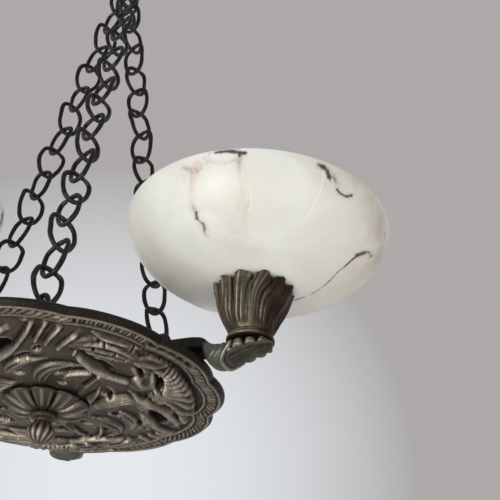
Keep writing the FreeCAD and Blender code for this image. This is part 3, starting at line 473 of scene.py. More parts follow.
def smooth_path(corners, steps=6, closed=False):
    """A curve through points, with a few points between each two of them."""
    corners = np.asarray(corners, float)
    if closed:
        padded = np.concatenate([corners[-1:], corners, corners[:2]])
    else:
        padded = np.concatenate([corners[:1] * 2 - corners[1:2], corners, corners[-1:] * 2 - corners[-2:-1]])
    share = np.arange(steps)[:, None] / steps
    runs = []
    for a, b, c, d in zip(padded, padded[1:], padded[2:], padded[3:]):
        runs.append(0.5 * (2 * b + (c - a) * share + (2 * a - 5 * b + 4 * c - d) * share ** 2
                           + (3 * b - a - 3 * c + d) * share ** 3))
    curve = np.concatenate(runs)
    return curve if closed else np.concatenate([curve, corners[-1:]])


def ease(value, low, high):
    """0 below low, 1 above high and a smooth step between."""
    share = np.clip((np.asarray(value, float) - low) / (high - low), 0, 1)
    return share * share * (3 - 2 * share)


def blurred(height, rows, columns):
    """A height field averaged over a window of grid points, round the closed columns."""
    out = height
    for axis, reach in ((0, rows), (1, columns)):
        total = np.zeros_like(out)
        for step in range(-reach, reach + 1):
            if axis == 1:
                total += np.roll(out, step, 1)
            else:
                index = np.clip(np.arange(out.shape[axis]) + step, 0, out.shape[axis] - 1)
                total += np.take(out, index, axis)
        out = total / (2 * reach + 1)
    return out


def turned_to(points, degrees, offset=(0, 0, 0)):
    """Points turned about Z and then moved."""
    turn = math.radians(degrees)
    x, y, z = np.asarray(points, float).T
    turned = np.stack([x * math.cos(turn) - y * math.sin(turn), x * math.sin(turn) + y * math.cos(turn), z], -1)
    return turned + np.asarray(offset, float)


# ---------------------------------------------------------------- relief plate

LOBES = 12
LOBE_START = -80.0
NOTCH_DEPTHS = (3.4, 3.6, 6.0, 3.4)      # of the four notches in each third of the plate
CREST = 136.0
LIP = 3.4                                # bevel outside the border
BEAD = 1.3
ROPE = 9.6
FILLET = 2.6
COVE = 2.4
THIRD = 120.0
SECTOR_START = -107.0
# The relief is drawn seen from below, on axes turned by this angle from X and Y.
DRAWN_TURN = -33.43


def outline_radius(azimuth):
    """The lobed edge: rounded lobes with notches of uneven depth."""
    place = (np.asarray(azimuth, float) - LOBE_START) / (360.0 / LOBES)
    lobe = np.floor(place).astype(int)
    share = place - lobe
    left = np.take(NOTCH_DEPTHS, lobe % len(NOTCH_DEPTHS))
    right = np.take(NOTCH_DEPTHS, (lobe + 1) % len(NOTCH_DEPTHS))
    rise = np.clip(1 - np.abs(2 * share - 1) ** 2.2, 0, 1)
    depth = np.where(share < 0.5, left, right)
    return CREST - depth * (1 - rise)


class Relief:
    """Heights over a set of points (a, b) in millimetres; raised forms cover each other."""

    def __init__(self, a, b):
        self.a = a
        self.b = b
        self.body = np.zeros_like(a)
        self.detail = np.zeros_like(a)

    def near(self, path, reach):
        """The points near a path: which, how far, on which side and the share along it."""
        low = path.min(0) - reach
        high = path.max(0) + reach
        pick = np.flatnonzero((self.a > low[0]) & (self.a < high[0]) & (self.b > low[1]) & (self.b < high[1]))
        spot = np.stack([self.a[pick], self.b[pick]], -1)
        steps = np.diff(path, axis=0)
        lengths = np.hypot(steps[:, 0], steps[:, 1])
        begun = np.concatenate([[0], np.cumsum(lengths)])
        away = np.full(len(pick), 1e9)
        side = np.zeros(len(pick))
        share = np.zeros(len(pick))
        for start, step, length, before in zip(path, steps, lengths, begun):
            t = np.clip(((spot - start) @ step) / length ** 2, 0, 1)
            off = spot - start - t[:, None] * step
            distance = np.hypot(off[:, 0], off[:, 1])
            closer = distance < away
            away[closer] = distance[closer]
            side[closer] = np.sign(step[0] * off[:, 1] - step[1] * off[:, 0])[closer]
            share[closer] = ((before + t * length) / begun[-1])[closer]
        return pick, away, side, share

    def leaf(self, corners, half, height, ribs=0, rib_height=0.0, point=0.6):
        """A raised leaf along a path, with ribs beside its middle and a tapered tip."""
        pick, away, side, share = self.near(smooth_path(corners), half)
        width = half * np.clip(np.sin(np.pi * np.clip(share, 0.02, 0.98) ** point), 0.12, 1)
        across = np.clip(away / width, 0, 1)
        swell = height * (1 - across ** 2) ** 0.6 * (width / half) ** 0.5
        np.maximum.at(self.body, pick, swell)
        if ribs:
            wave = np.cos(np.pi * ribs * side * across) * (1 - across ** 3) * (across < 1)
            self.detail[pick] += rib_height * wave * (width / half)

    def ridge(self, corners, half, height, sharp=1.0):
        pick, away, _, share = self.near(smooth_path(corners), half)
        taper = np.clip(np.minimum(share, 1 - share) / 0.12, 0.25, 1)
        np.maximum.at(self.body, pick, height * np.clip(1 - (away / half) ** (1 + sharp), 0, 1) * taper)

    def groove(self, corners, half, depth):
        pick, away, _, share = self.near(smooth_path(corners), half)
        taper = np.clip(np.minimum(share, 1 - share) / 0.15, 0.1, 1)
        self.detail[pick] -= depth * np.clip(1 - (away / half) ** 2, 0, 1) * taper

    def boss(self, centre, radii, turn, height):
        cos, sin = math.cos(math.radians(turn)), math.sin(math.radians(turn))
        da, db = self.a - centre[0], self.b - centre[1]
        u = (da * cos + db * sin) / radii[0]
        v = (-da * sin + db * cos) / radii[1]
        dome = np.clip(1 - u * u - v * v, 0, 1)
        if height > 0:
            np.maximum(self.body, height * dome ** 0.6, out=self.body)
        else:
            self.detail += height * dome ** 0.7

    def fan(self, centre, start, end, inner, outer_radius, ribs, height):
        """Shell ribs that spread from a centre out to a circle about the plate's middle."""
        da, db = self.a - centre[0], self.b - centre[1]
        reach = np.hypot(da, db)
        turn = np.degrees(np.arctan2(db, da))
        share = (turn - start) / (end - start) + 0.012 * np.sin(reach / 5.0)
        inside = (share > 0) & (share < 1) & (reach > inner)
        radius = np.hypot(self.a, self.b)
        fade = ease(reach, inner, inner + 6) * (1 - ease(radius, outer_radius - 3, outer_radius))
        wave = 1 - np.abs(np.sin(np.pi * ribs * share)) ** 0.75
        self.detail += np.where(inside, height * wave * fade, 0)
        swell = np.where(inside, height * 0.9 * fade * np.sin(np.pi * np.clip(share, 0, 1)), 0)
        np.maximum(self.body, swell, out=self.body)


def draw_relief(relief):
    """The carved ornament of one third of the plate, as it is seen from below."""
    # drilled acanthus beside the border
    relief.leaf([(28, -93), (42, -92), (56, -87), (68, -78), (78, -68)], 13, 3.4, 5, 0.9, 0.8)
    relief.leaf([(46, -104), (57, -97), (68, -90), (77, -83)], 6, 2.8, 3, 0.7)
    for centre, radii, turn in (((45, -91), (1.3, 3.2), 10), ((49, -98), (1.5, 2.4), -20),
                                ((59, -85), (2.4, 1.4), -40), ((58, -76), (3.0, 1.2), -40),
                                ((66, -78), (1.4, 2.6), 10), ((64, -97), (3.0, 1.0), 35),
                                ((71, -86), (1.2, 3.0), 30), ((53, -95), (1.0, 2.2), 0)):
        relief.boss(centre, radii, turn, -3.2)
    relief.groove([(33, -93), (41, -81), (48, -71), (56, -61)], 3.6, 3.4)
    # long light ridge down to the volute
    relief.ridge([(31, -84), (36, -76), (44, -64), (54, -55), (64, -49), (70, -43)], 3.4, 4.6, 0.4)
    relief.groove([(38, -66), (46, -57), (56, -50)], 1.8, 1.6)
    # leaf strips beside the smooth panel
    relief.ridge([(24, -18), (33, -34), (42, -49), (50, -57)], 2.8, 3.2, 0.3)
    relief.groove([(30, -36), (38, -46), (44, -54)], 1.6, 2.4)
    relief.groove([(48, -46), (50, -50), (52, -54)], 1.6, 3.2)
    relief.leaf([(14, 18), (24, 1), (33, -13), (41, -26), (45, -36)], 5.2, 5.4, 1, 0.4, 0.9)
    relief.boss((48.5, -27), (4.2, 8.5), -12, -7.5)
    # soft shells between the acanthus and the fan
    relief.leaf([(70, -74), (80, -70), (90, -64), (100, -62)], 6.5, 3.4, 2, 0.8)
    relief.leaf([(84, -62), (94, -56), (104, -54)], 4.5, 3.2, 2, 0.7)
    for bend in ((84, -79), (91, -72), (97, -65)):
        relief.boss(bend, (3.6, 2.2), -48, -3.2)
    # volute with its dark crescents
    relief.boss((76, -43), (11, 9.5), 35, 5.4)
    relief.groove([(82, -57), (87, -51), (88.5, -43), (88, -34), (90, -28)], 3.6, 7.5)
    relief.groove([(72, -66), (74, -60), (75, -54), (77, -49)], 2.6, 6.0)
    relief.boss((79, -49), (4.5, 6), -10, -3.0)
    relief.fan((70, -46), -30, 66, 18, 115, 10, 4.2)
    # long S ridges round the lower hollow
    for shift, half, height in ((0, 3.2, 4.8), (6.0, 2.6, 3.8), (11.0, 2.2, 3.0)):
        relief.ridge([(26 + shift, 8 - shift * 0.2), (38 + shift * 0.5, -8 + shift * 0.5),
                      (52 + shift * 0.2, -18 + shift), (66, -22 + shift), (76 - shift * 0.4, -14 + shift),
                      (84 - shift * 0.7, 0 + shift * 0.7)], half, height, 0.4)
    relief.ridge([(66, -30), (72, -20), (78, -10), (86, -2), (92, 11), (98, 28), (99, 44)], 2.8, 5.4, 0.4)
    relief.groove([(77, -25), (82, -13), (89, -3), (95, 7), (102, 17)], 2.6, 4.4)
    relief.groove([(94, 2), (98, 12), (104, 22)], 1.8, 2.6)
    for shift in (0, 6, 12):
        relief.ridge([(92 + shift * 0.6, -14 + shift), (99 + shift * 0.3, -8 + shift),
                      (108, -2 + shift * 1.1), (114, 2 + shift * 1.2)], 1.9, 2.8, 0.4)
    relief.boss((84, 20), (6.5, 18), -13, -8.5)
    relief.ridge([(71, 8), (75, 20), (79, 32), (85, 43), (92, 55), (97, 64)], 2.6, 5.0, 0.4)
    # swirled leaves and hollows of the far side
    relief.leaf([(34, 22), (44, 30), (50, 42), (48, 56), (40, 66)], 7, 4.2, 3, 0.9)
    relief.leaf([(56, 8), (62, 20), (64, 34), (60, 48)], 5.5, 3.8, 3, 0.8)
    relief.boss((52, 15), (4.5, 5.5), 0, -5.5)
    relief.boss((69, 33), (2.6, 7.5), -8, -5.0)
    relief.boss((72, 48), (2.4, 4.5), -20, -4.5)
    relief.boss((41, 47), (3.0, 9.0), -10, -5.5)
    relief.boss((26, 36), (5.0, 4.0), 20, -4.5)
    relief.ridge([(38, 44), (36, 56), (31, 68)], 2.4, 4.6, 0.4)
    for start, bend, end in (((74, 56), (80, 66), (84, 78)), ((80, 52), (87, 62), (92, 72)),
                             ((66, 60), (71, 72), (73, 84)), ((56, 66), (62, 78), (63, 90))):
        relief.ridge([start, bend, end], 2.2, 3.6, 0.4)
    relief.boss((103, 60), (6, 6), 0, 4.2)
    relief.groove([(99, 60), (102, 64), (106, 62), (106, 57), (102, 56), (99, 58)], 1.3, 3.0)


def border_wave(azimuth, depth_in, slant=0.55):
    """The border's pattern: fine flutes, then square pockets, then a slanted rope, in each third."""
    place = (azimuth - SECTOR_START) % THIRD
    flutes = 0.5 - 0.5 * np.cos(2 * math.pi * place / 25.0 * 18)
    pocket = np.abs(np.sin(math.pi * (place - 25.0) / 20.0 * 5)) ** 0.35
    pocket = -1.2 * pocket * ease(depth_in, 1.2, 2.4) * (1 - ease(depth_in, 6.0, 7.4))
    turn = (place - 45.0) + slant * (depth_in - ROPE / 2)
    rope = np.abs(np.sin(math.pi * turn / 75.0 * 30)) ** 0.7
    crown = np.clip(1 - ((depth_in - ROPE / 2) / (ROPE / 2)) ** 2, 0, 1) ** 0.5
    flutes = flutes * (0.72 + 0.28 * np.sin(place * 1.7 + 0.8) * np.sin(place * 0.61))
    rope = rope * (0.86 + 0.14 * np.sin(place * 0.83))
    in_pockets = ease(place, 24, 26) * (1 - ease(place, 44, 46))
    in_rope = ease(place, 44, 46) * (1 - ease(place, THIRD - 2, THIRD))
    in_flutes = 1 - np.clip(in_pockets + in_rope, 0, 1)
    return (in_flutes * (0.1 + 2.6 * flutes ** 0.8) * crown + in_pockets * (2.6 + 2.2 * pocket)
            + in_rope * (3.5 * rope ** 0.9 + 0.1) * crown)


def plate_under(azimuth, radius):
    """How far the underside stands below the rim's plane, its edge border and relief included."""
    edge = outline_radius(azimuth)
    inward = edge - radius
    a_turn = np.radians(azimuth - DRAWN_TURN)
    a = radius * np.cos(a_turn)
    b = radius * np.sin(a_turn)
    relief = Relief(a.ravel(), b.ravel())
    for copy in range(-1, 2):
        turn = math.radians(THIRD * copy)
        relief.a = (a * math.cos(turn) - b * math.sin(turn)).ravel()
        relief.b = (a * math.sin(turn) + b * math.cos(turn)).ravel()
        draw_relief(relief)
    carved = (relief.body + relief.detail).reshape(a.shape)
    dome = np.interp(radius, (0, 52, 80, 100, 108, 112, 115), (11.5, 11.5, 9.5, 6.6, 4.8, 2.4, 0.6))
    fade = ease(radius, 34, 40)
    field = dome + carved * fade * (1 - ease(radius, 113, 118))
    steps = np.cumsum((LIP, BEAD, ROPE, FILLET, COVE))
    bead = 2.7 + 0.5 * np.sqrt(np.clip(1 - ((inward - steps[0] - BEAD / 2) / (BEAD / 2)) ** 2, 0, 1))
    lip = 2.7 * np.clip(inward / LIP, 0, 1) ** 0.8 - 1.0 * (1 - np.clip(inward / LIP, 0, 1))
    rope = 0.4 + border_wave(azimuth, inward - steps[1])
    fillet = 1.0 + 1.5 * np.sqrt(np.clip(1 - ((inward - steps[2] - FILLET / 2) / (FILLET / 2)) ** 2, 0, 1))
    cove = np.maximum(field - 2.0 * (1 - ease(inward, steps[3], steps[4] + 2)), 0.2)
    return np.select([inward < steps[0], inward < steps[1], inward < steps[2], inward < steps[3]],
                     [lip, bead, rope, fillet], cove)


PLATE_COLUMNS = 900


def make_plate():
    azimuth = SECTOR_START + np.arange(PLATE_COLUMNS) * 360.0 / PLATE_COLUMNS
    edge = outline_radius(azimuth)
    third = PLATE_COLUMNS // 3
    hole = 5.3
    flat_rows = np.concatenate([np.arange(hole, 110, 1.0), np.arange(110, CREST - 0.3, 0.62)])
    share = (flat_rows - hole) / (flat_rows[-1] - hole)
    grow = ease(flat_rows, 108, CREST)
    radius = flat_rows[:, None] + grow[:, None] * (edge[None, :] - CREST + 0.25)
    under = plate_under(np.broadcast_to(azimuth[None, :third], (len(share), third)), radius[:, :third])
    under = np.tile(under, (1, 3))
    height = -under
    # painted shade in the relief's recesses; its crests lightened by wear and a painted highlight
    painted_shade = np.clip((blurred(under, 3, 3) - under - 0.10) * 1.5, 0, 1)
    wear_and_highlight = np.clip((under - blurred(under, 3, 3) - 0.20) * 1.1, 0, 1)
    painted_shade = np.maximum(painted_shade, np.clip((blurred(under, 9, 9) - under - 0.35) * 0.55, 0, 1))
    top = [(0.0, 1.6), (0.0, 2.8), (-0.4, 3.2), (-6.0, 6.2), (-11.6, 9.3), (-12.6, 9.5)]
    radii = [radius]
    heights = [height]
    for inset, z in top:
        radii.append((edge + inset)[None, :])
        heights.append(np.full((1, PLATE_COLUMNS), z))
    for fixed, z in ((100, 9.5), (80, 9.5), (73, 9.5), (73, -3.0), (52, -9.0), (hole, -9.0)):
        radii.append(np.full((1, PLATE_COLUMNS), float(fixed)))
        heights.append(np.full((1, PLATE_COLUMNS), float(z)))
    radius = np.concatenate(radii)
    height = np.concatenate(heights)
    extra = len(radius) - len(wear_and_highlight)
    pad = np.zeros((extra, PLATE_COLUMNS))
    # painted shade on the outer side wall of the rim
    painted_rim_wall_shade = np.zeros_like(pad)
    painted_rim_wall_shade[:3] = 0.75
    turn = np.radians(azimuth)[None, :]
    points = np.stack([radius * np.cos(turn), radius * np.sin(turn), height + RIM], -1)
    inward = edge[None, :] - radius[:len(wear_and_highlight)]
    # painted shade on the bevelled lip outside the border
    painted_lip_shade = (1 - ease(inward, LIP - 0.8, LIP)) * 0.93
    fields = {"wear_and_highlight": np.concatenate([wear_and_highlight * (1 - painted_lip_shade), pad]),
              "painted_shade": np.concatenate([np.maximum(painted_shade, painted_lip_shade), painted_rim_wall_shade])}
    faces = grid_faces(len(radius), PLATE_COLUMNS)
    make_piece("plate_relief", points.reshape(-1, 3), faces[:, ::-1], "bronze", "pendant",
               ["relief_plate"], fields)


# ---------------------------------------------------------------- rosette and finial


def make_rosette():
    """Nine leaves that curl down round the finial."""
    low, high = frame_box("rosette")
    top = high[2]
    reach = (high[0] - low[0]) / 2
    columns, rows = 270, 34
    turn = np.arange(columns) / columns * 2 * math.pi
    leaf = np.abs(np.cos(4.5 * turn))
    edge = reach - 5.5 * (1 - leaf ** 0.5)
    share = np.linspace(0, 1, rows)[:, None]
    hole = 5.4
    radius = hole + (edge - hole)[None, :] * share
    body = 8.6 * (1 - share ** 2.2) ** 0.9 * (0.75 + 0.25 * leaf[None, :]) + 1.0
    rib = 0.9 * np.cos(9 * turn[None, :] * 3) * ease(share, 0.2, 0.5) * (1 - share)
    middle = 1.1 * leaf[None, :] ** 14 * ease(share, 0.15, 0.4)
    split = -2.6 * (1 - leaf[None, :]) ** 3 * ease(share, 0.2, 0.6)
    under = np.clip(body + rib + middle + split, 0.9, 8.9)
    # leaf crests lightened by wear and a painted highlight; painted shade in the hollows between them
    wear_and_highlight = np.clip((under - blurred(under, 2, 3) - 0.1) * 1.6, 0, 1)
    painted_shade = np.clip((blurred(under, 2, 3) - under - 0.05) * 1.6, 0, 1)
    radius = np.concatenate([radius, edge[None, :] - 0.2, np.full((1, columns), hole)])
    height = np.concatenate([top - under, np.full((2, columns), top)])
    pad = np.zeros((2, columns))
    points = np.stack([radius * np.cos(turn), radius * np.sin(turn), height], -1)
    faces = grid_faces(rows + 2, columns)
    fields = {"wear_and_highlight": np.concatenate([wear_and_highlight, pad]), "painted_shade": np.concatenate([painted_shade, pad])}
    make_piece("rosette_leaves", points.reshape(-1, 3), faces[:, ::-1], "bronze", "pendant",
               ["rosette"], fields)


def make_finial():
    """A bud of slanted gadroons on a moulded neck, closed at its tip."""
    low, high = frame_box("finial")
    top, tip = high[2], low[2]
    reach = (high[0] - low[0]) / 2
    length = top - tip
    outline = smooth_path([(reach - 0.8, 0), (reach, 1.2), (reach, 3.0), (reach - 2.2, 4.2), (6.6, 5.4), (7.6, 8),
                           (9.8, 10.4), (reach, 13.4), (10.2, 17.0), (7.9, 20.0), (4.6, 22.3),
                            (1.2, length - 0.4)], 4)
    outline[:, 0] = np.minimum(outline[:, 0], reach)
    outline[:, 1] = np.minimum(outline[:, 1], length - 0.1)
    columns = 96
    turn = np.arange(columns) / columns * 2 * math.pi
    down = outline[:, 1][:, None]
    swell = ease(down, 6, 10) * (1 - ease(down, 21, 25))
    flute = np.abs(np.sin(6 * turn[None, :] + down * 0.09)) ** 0.8
    radius = outline[:, 0][:, None] - 1.0 * swell * (1 - flute)
    # gadroon crowns lightened by wear and a painted highlight; painted shade in the flutes between them
    wear_and_highlight = swell * flute ** 6
    painted_shade = swell * (1 - flute) ** 2
    height = np.broadcast_to(top - down, radius.shape)
    points = np.stack([radius * np.cos(turn), radius * np.sin(turn), height], -1).reshape(-1, 3)
    rows = len(outline)
    faces = grid_faces(rows, columns, close_rows=False).tolist()
    first = np.arange(columns)
    faces = [face[::-1] for face in faces] + end_cap(first, False) + end_cap(first + (rows - 1) * columns, True)
    make_piece("finial_bud", points, faces, "bronze", "finial", ["finial"], {"wear_and_highlight": wear_and_highlight, "painted_shade": painted_shade})


# ---------------------------------------------------------------- arms

# Along the arm: reach, underside, top, half width and squareness of the section.
ARM_STATIONS = [
    (80.6, 9.7, 20.3, 10.6, 7.0), (84.0, 9.6, 20.5, 10.9, 7.0), (120.0, 9.6, 20.5, 10.9, 6.0),
    (132.0, 9.6, 19.6, 10.9, 5.0), (136.4, 9.6, 18.4, 11.0, 3.6), (137.6, 5.0, 17.4, 11.2, 2.8),
    (139.6, 0.2, 16.0, 11.8, 2.4), (143.0, -2.8, 14.4, 12.6, 2.2), (147.0, -3.8, 13.2, 13.2, 2.2),
    (151.0, -3.6, 12.9, 13.6, 2.2), (155.0, -2.8, 12.9, 13.8, 2.2), (161.0, -0.8, 12.9, 14.2, 2.4),
    (166.5, 2.2, 12.9, 13.8, 2.6), (174.5, 4.4, 12.9, 12.4, 2.7), (180.5, 6.2, 12.9, 9.6, 2.6),
    (184.5, 7.8, 12.6, 6.2, 2.4), (186.8, 9.2, 11.8, 2.4, 2.0),
]
ARM_COLUMNS = 128


def arm_relief(reach, turn):
    """The leaf that wraps the knuckle. The turn counts from straight down to either side."""
    side = np.abs(turn)
    leaf_edge = 152.5 + 8.5 * ease(side, 25, 105)
    past = reach - leaf_edge
    shell = (0.35 * np.sin((past + 3) * 1.15) * ease(past, -16, -9) * (1 - ease(past, -2.2, -1.2))
             * ease(side, 15, 60))
    rim = 1.1 * np.exp(-((past + 0.7) / 0.8) ** 2)
    step = -2.0 * ease(past, 0.0, 1.4) * (1 - ease(past, 16, 26))
    lobe_place = (reach - 161.8) / 8.8
    lobes = np.abs(np.sin(math.pi * lobe_place)) ** 0.6
    upper = ease(side, 56, 74) * (1 - ease(side, 128, 140)) * ease(past, 0.8, 2.2)
    curl = upper * (4.6 * lobes - 1.2)
    lower_rib = (1 - ease(side, 6, 22)) * ease(past, 0, 4) * 1.4
    hollow_side = (-1.6 * ease(side, 26, 38) * (1 - ease(side, 50, 62)) * ease(past, 2, 6)
                   * (1 - ease(past, 20, 28)))
    reach_fade = ease(reach, 138.5, 142) * (1 - ease(reach, 182, 186))
    return (shell + rim + step + curl + lower_rib + hollow_side) * reach_fade


def make_arms():
    stations = smooth_path(ARM_STATIONS, 7)
    keep = np.concatenate([[True], np.diff(stations[:, 0]) > 0.05])
    stations = stations[keep]
    reach, under, top, half, square = (column[:, None] for column in stations.T)
    turn = np.linspace(-180, 180, ARM_COLUMNS, endpoint=False)[None, :]
    cos, sin = np.cos(np.radians(turn)), np.sin(np.radians(turn))
    shape = (np.abs(cos) ** square + np.abs(sin) ** square) ** (-1 / square)
    middle = (under + top) / 2
    tall = (top - under) / 2
    across = half * shape * sin
    down = tall * shape * cos
    proud = arm_relief(reach, turn)
    away = np.hypot(across, down)
    outward = np.stack([across, down], 0) / np.maximum(away, 1e-6)
    across = across + outward[0] * proud
    height = middle - (down + outward[1] * proud)
    height = np.minimum(height, np.where(reach > 151, PLATE_WALL + 3.4, 60.0))
    height = np.where(reach < 136.6, np.maximum(height, PLATE_WALL + 0.1), height)
    along = np.broadcast_to(reach, across.shape)
    plane = np.stack([along, across, height], -1).reshape(-1, 3)
    rows = len(stations)
    # crests lightened by wear and a painted highlight; painted shade in the hollows
    wear_and_highlight = np.clip((proud - blurred(proud, 2, 2) - 0.12) * 1.3, 0, 1)
    painted_shade = np.clip((blurred(proud, 3, 3) - proud - 0.12) * 1.2, 0, 1)
    # painted shade: the arm's root on top of the plate is darkened and gets no highlight
    strap = 1 - ease(along, 137, 141)
    side = np.abs(np.broadcast_to(turn, along.shape))
    # painted shade: the underside of the arm past the knuckle leaf is darkened
    brown = ease(along, 153, 158) * (1 - ease(side, 40, 58)) * 0.75
    fields = {"wear_and_highlight": wear_and_highlight * (1 - strap), "painted_shade": np.maximum(painted_shade, strap * 0.92), "painted_side_shade": brown}
    faces = [face[::-1] for face in grid_faces(rows, ARM_COLUMNS, close_rows=False).tolist()]
    first = np.arange(ARM_COLUMNS)
    faces += end_cap(first, False) + end_cap(first + (rows - 1) * ARM_COLUMNS, True)
    for number in ARM_NUMBERS:
        x, y, _ = arm_axis(number)
        degrees = math.degrees(math.atan2(y, x))
        points = turned_to(plane, degrees, (0, 0, RIM))
        make_piece(f"arm_leaf_{number}", points, faces, "arm_bronze", "pendant", [f"arm_{number}"], fields)


# ---------------------------------------------------------------- cups

CUP_COLUMNS = 360
CUP_LOBES = 12
CUP_TIP = 43.6
CUP_FOOT = [(5.4, 0.0), (16.6, 0.0), (17.4, 0.5), (17.5, 1.4), (17.3, 2.4), (16.5, 3.0), (16.0, 3.3), (16.3, 3.8),
            (16.1, 4.6), (15.3, 5.1)]


def cup_wave(turn, share):
    """The cup's fluting: broad petals, each with finer wavy ridges."""
    sway = 0.13 * np.sin(share * 3.9 + 0.5) + 0.04 * np.sin(share * 7 + turn * 3)
    bent = turn + sway
    petal = np.abs(np.cos(CUP_LOBES / 2 * bent)) ** 0.5
    ridge = np.abs(np.cos(CUP_LOBES * bent + 0.6 * np.sin(turn * 3))) ** 0.7
    fine = np.cos(CUP_LOBES * 4 * bent + np.sin(turn * 5) + share * 2)
    return petal, ridge, fine


def make_cups():
    turn = np.arange(CUP_COLUMNS) / CUP_COLUMNS * 2 * math.pi
    rows = 56
    share = np.linspace(0, 1, rows)[:, None]
    petal, ridge, fine = cup_wave(turn[None, :], share)
    tip_petal = petal[-1] * (0.82 + 0.18 * ridge[-1])
    tip = CUP_TIP - 5.4 * (1 - tip_petal) - 0.6 * (0.5 + 0.5 * np.sin(turn * 3 + 1))
    height = 5.1 + (tip[None, :] - 5.1) * share
    base = np.interp(height, (5.1, 8, 14, 20, 27, 33, 38, 42, 44),
                     (15.4, 17.2, 20.4, 23.2, 26.0, 27.8, 29.0, 30.0, 30.4))
    swell = ease(share, 0.0, 0.22)
    radius = base - swell * (2.7 * (1 - petal) + 1.0 * (1 - ridge)) + 0.22 * fine * swell
    radius += 0.5 * ease(share, 0.86, 1.0) * petal
    proud = radius - blurred(radius, 0, 6)
    # ridges lightened by wear and a painted highlight; painted shade in the grooves
    wear_and_highlight = np.clip((proud - 0.25) * 1.3, 0, 1)
    painted_shade = np.clip((-proud - 0.15) * 1.8, 0, 1)
    foot = np.array(CUP_FOOT)
    foot_radius = np.repeat(foot[:, :1], CUP_COLUMNS, 1)
    foot_height = np.repeat(foot[:, 1:], CUP_COLUMNS, 1)
    inner_share = np.linspace(1, 0.02, 20)[:, None]
    inner_height = 5.1 + (tip[None, :] - 5.1) * inner_share
    inner_base = np.interp(inner_height, (5.1, 14, 20, 27, 33, 38, 44),
                           (12.0, 16.4, 19.2, 22.4, 24.6, 26.2, 27.6))
    bore = np.full((1, CUP_COLUMNS), CUP_FOOT[0][0])
    all_radius = np.concatenate([foot_radius, radius, inner_base, bore])
    all_height = np.concatenate([foot_height, height, inner_height, inner_height[-1:]])
    # foot beads lightened by wear and a painted highlight; painted shade in the foot's grooves and underside
    foot_wear_and_highlight = np.repeat(np.array([0, 0, 0.1, 0.35, 0.1, 0, 0, 0.3, 0.1, 0])[:, None], CUP_COLUMNS, 1)
    foot_painted_shade = np.repeat(np.array([0.9, 0.7, 0.4, 0.1, 0.5, 0.9, 0.95, 0.4, 0.5, 0.9])[:, None], CUP_COLUMNS, 1)
    inside = np.zeros((len(inner_base) + 1, CUP_COLUMNS))
    wear_and_highlight = np.concatenate([foot_wear_and_highlight, wear_and_highlight, inside])
    # painted shade also fills the inside of the cup
    painted_shade = np.concatenate([foot_painted_shade, painted_shade, inside + 0.5])
    total = len(all_radius)
    # painted shade: one side of each cup, away from the light, is darkened to a near black-brown and loses its
    # highlight
    shaded_side_share = ease(np.cos(turn - math.radians(25)), -0.05, 0.65)
    painted_side_shade = np.broadcast_to(shaded_side_share, (total, CUP_COLUMNS)) * 0.95
    plane = np.stack([all_radius * np.cos(turn), all_radius * np.sin(turn), all_height], -1).reshape(-1, 3)
    faces = grid_faces(total, CUP_COLUMNS)
    for number in ARM_NUMBERS:
        x, y, _ = arm_axis(number)
        base_height = frame_box(f"cup_{number}")[0][2]
        degrees = math.degrees(math.atan2(y, x))
        points = turned_to(plane, degrees, (x, y, base_height))
        make_piece(f"cup_fluted_{number}", points, faces, "cup_bronze", "pendant", [f"cup_{number}"],
                   {"wear_and_highlight": wear_and_highlight * (1 - 0.7 * painted_side_shade), "painted_shade": painted_shade, "painted_side_shade": painted_side_shade})



# ---------------------------------------------------------------- nipples

NIPPLE_START = 6.4       # over the rim's plane, inside the arm
NIPPLE_PITCH = 1.0
NIPPLE_BORE = 3.6


def make_nipples():
    """A hollow threaded tube that holds arm, cup, bowl and lampholder together."""
    low, high = frame_box("nipple_1")
    outer = (high[0] - low[0]) / 2
    columns = 48
    turn = np.arange(columns) / columns * 2 * math.pi
    height = np.arange(RIM + NIPPLE_START, high[2] - 0.4, NIPPLE_PITCH / 4)[:, None]
    winding = (height / NIPPLE_PITCH - turn[None, :] / (2 * math.pi)) % 1
    outside = outer - 0.35 * np.abs(2 * winding - 1)
    inside = np.full((2, columns), NIPPLE_BORE)
    ends = np.array([[high[2]], [RIM + NIPPLE_START]])
    radius = np.concatenate([outside, inside])
    level = np.concatenate([np.broadcast_to(height, outside.shape), np.broadcast_to(ends, inside.shape)])
    plane = np.stack([radius * np.cos(turn), radius * np.sin(turn), level], -1).reshape(-1, 3)
    faces = grid_faces(len(radius), columns)
    for number in ARM_NUMBERS:
        x, y, _ = arm_axis(number)
        make_piece(f"nipple_thread_{number}", plane + (x, y, 0), faces, "brass", "pendant", [f"nipple_{number}"])


# ---------------------------------------------------------------- bowls

BOWL_RADIUS = 100.0
BOWL_WALL = 7.0
BOWL_DEPTH = 56.0
BOWL_INNER_DEPTH = 48.0
BOWL_SPINS = {1: 0.0, 2: 200.0, 3: 75.0}   # how far each stone is turned about its axis

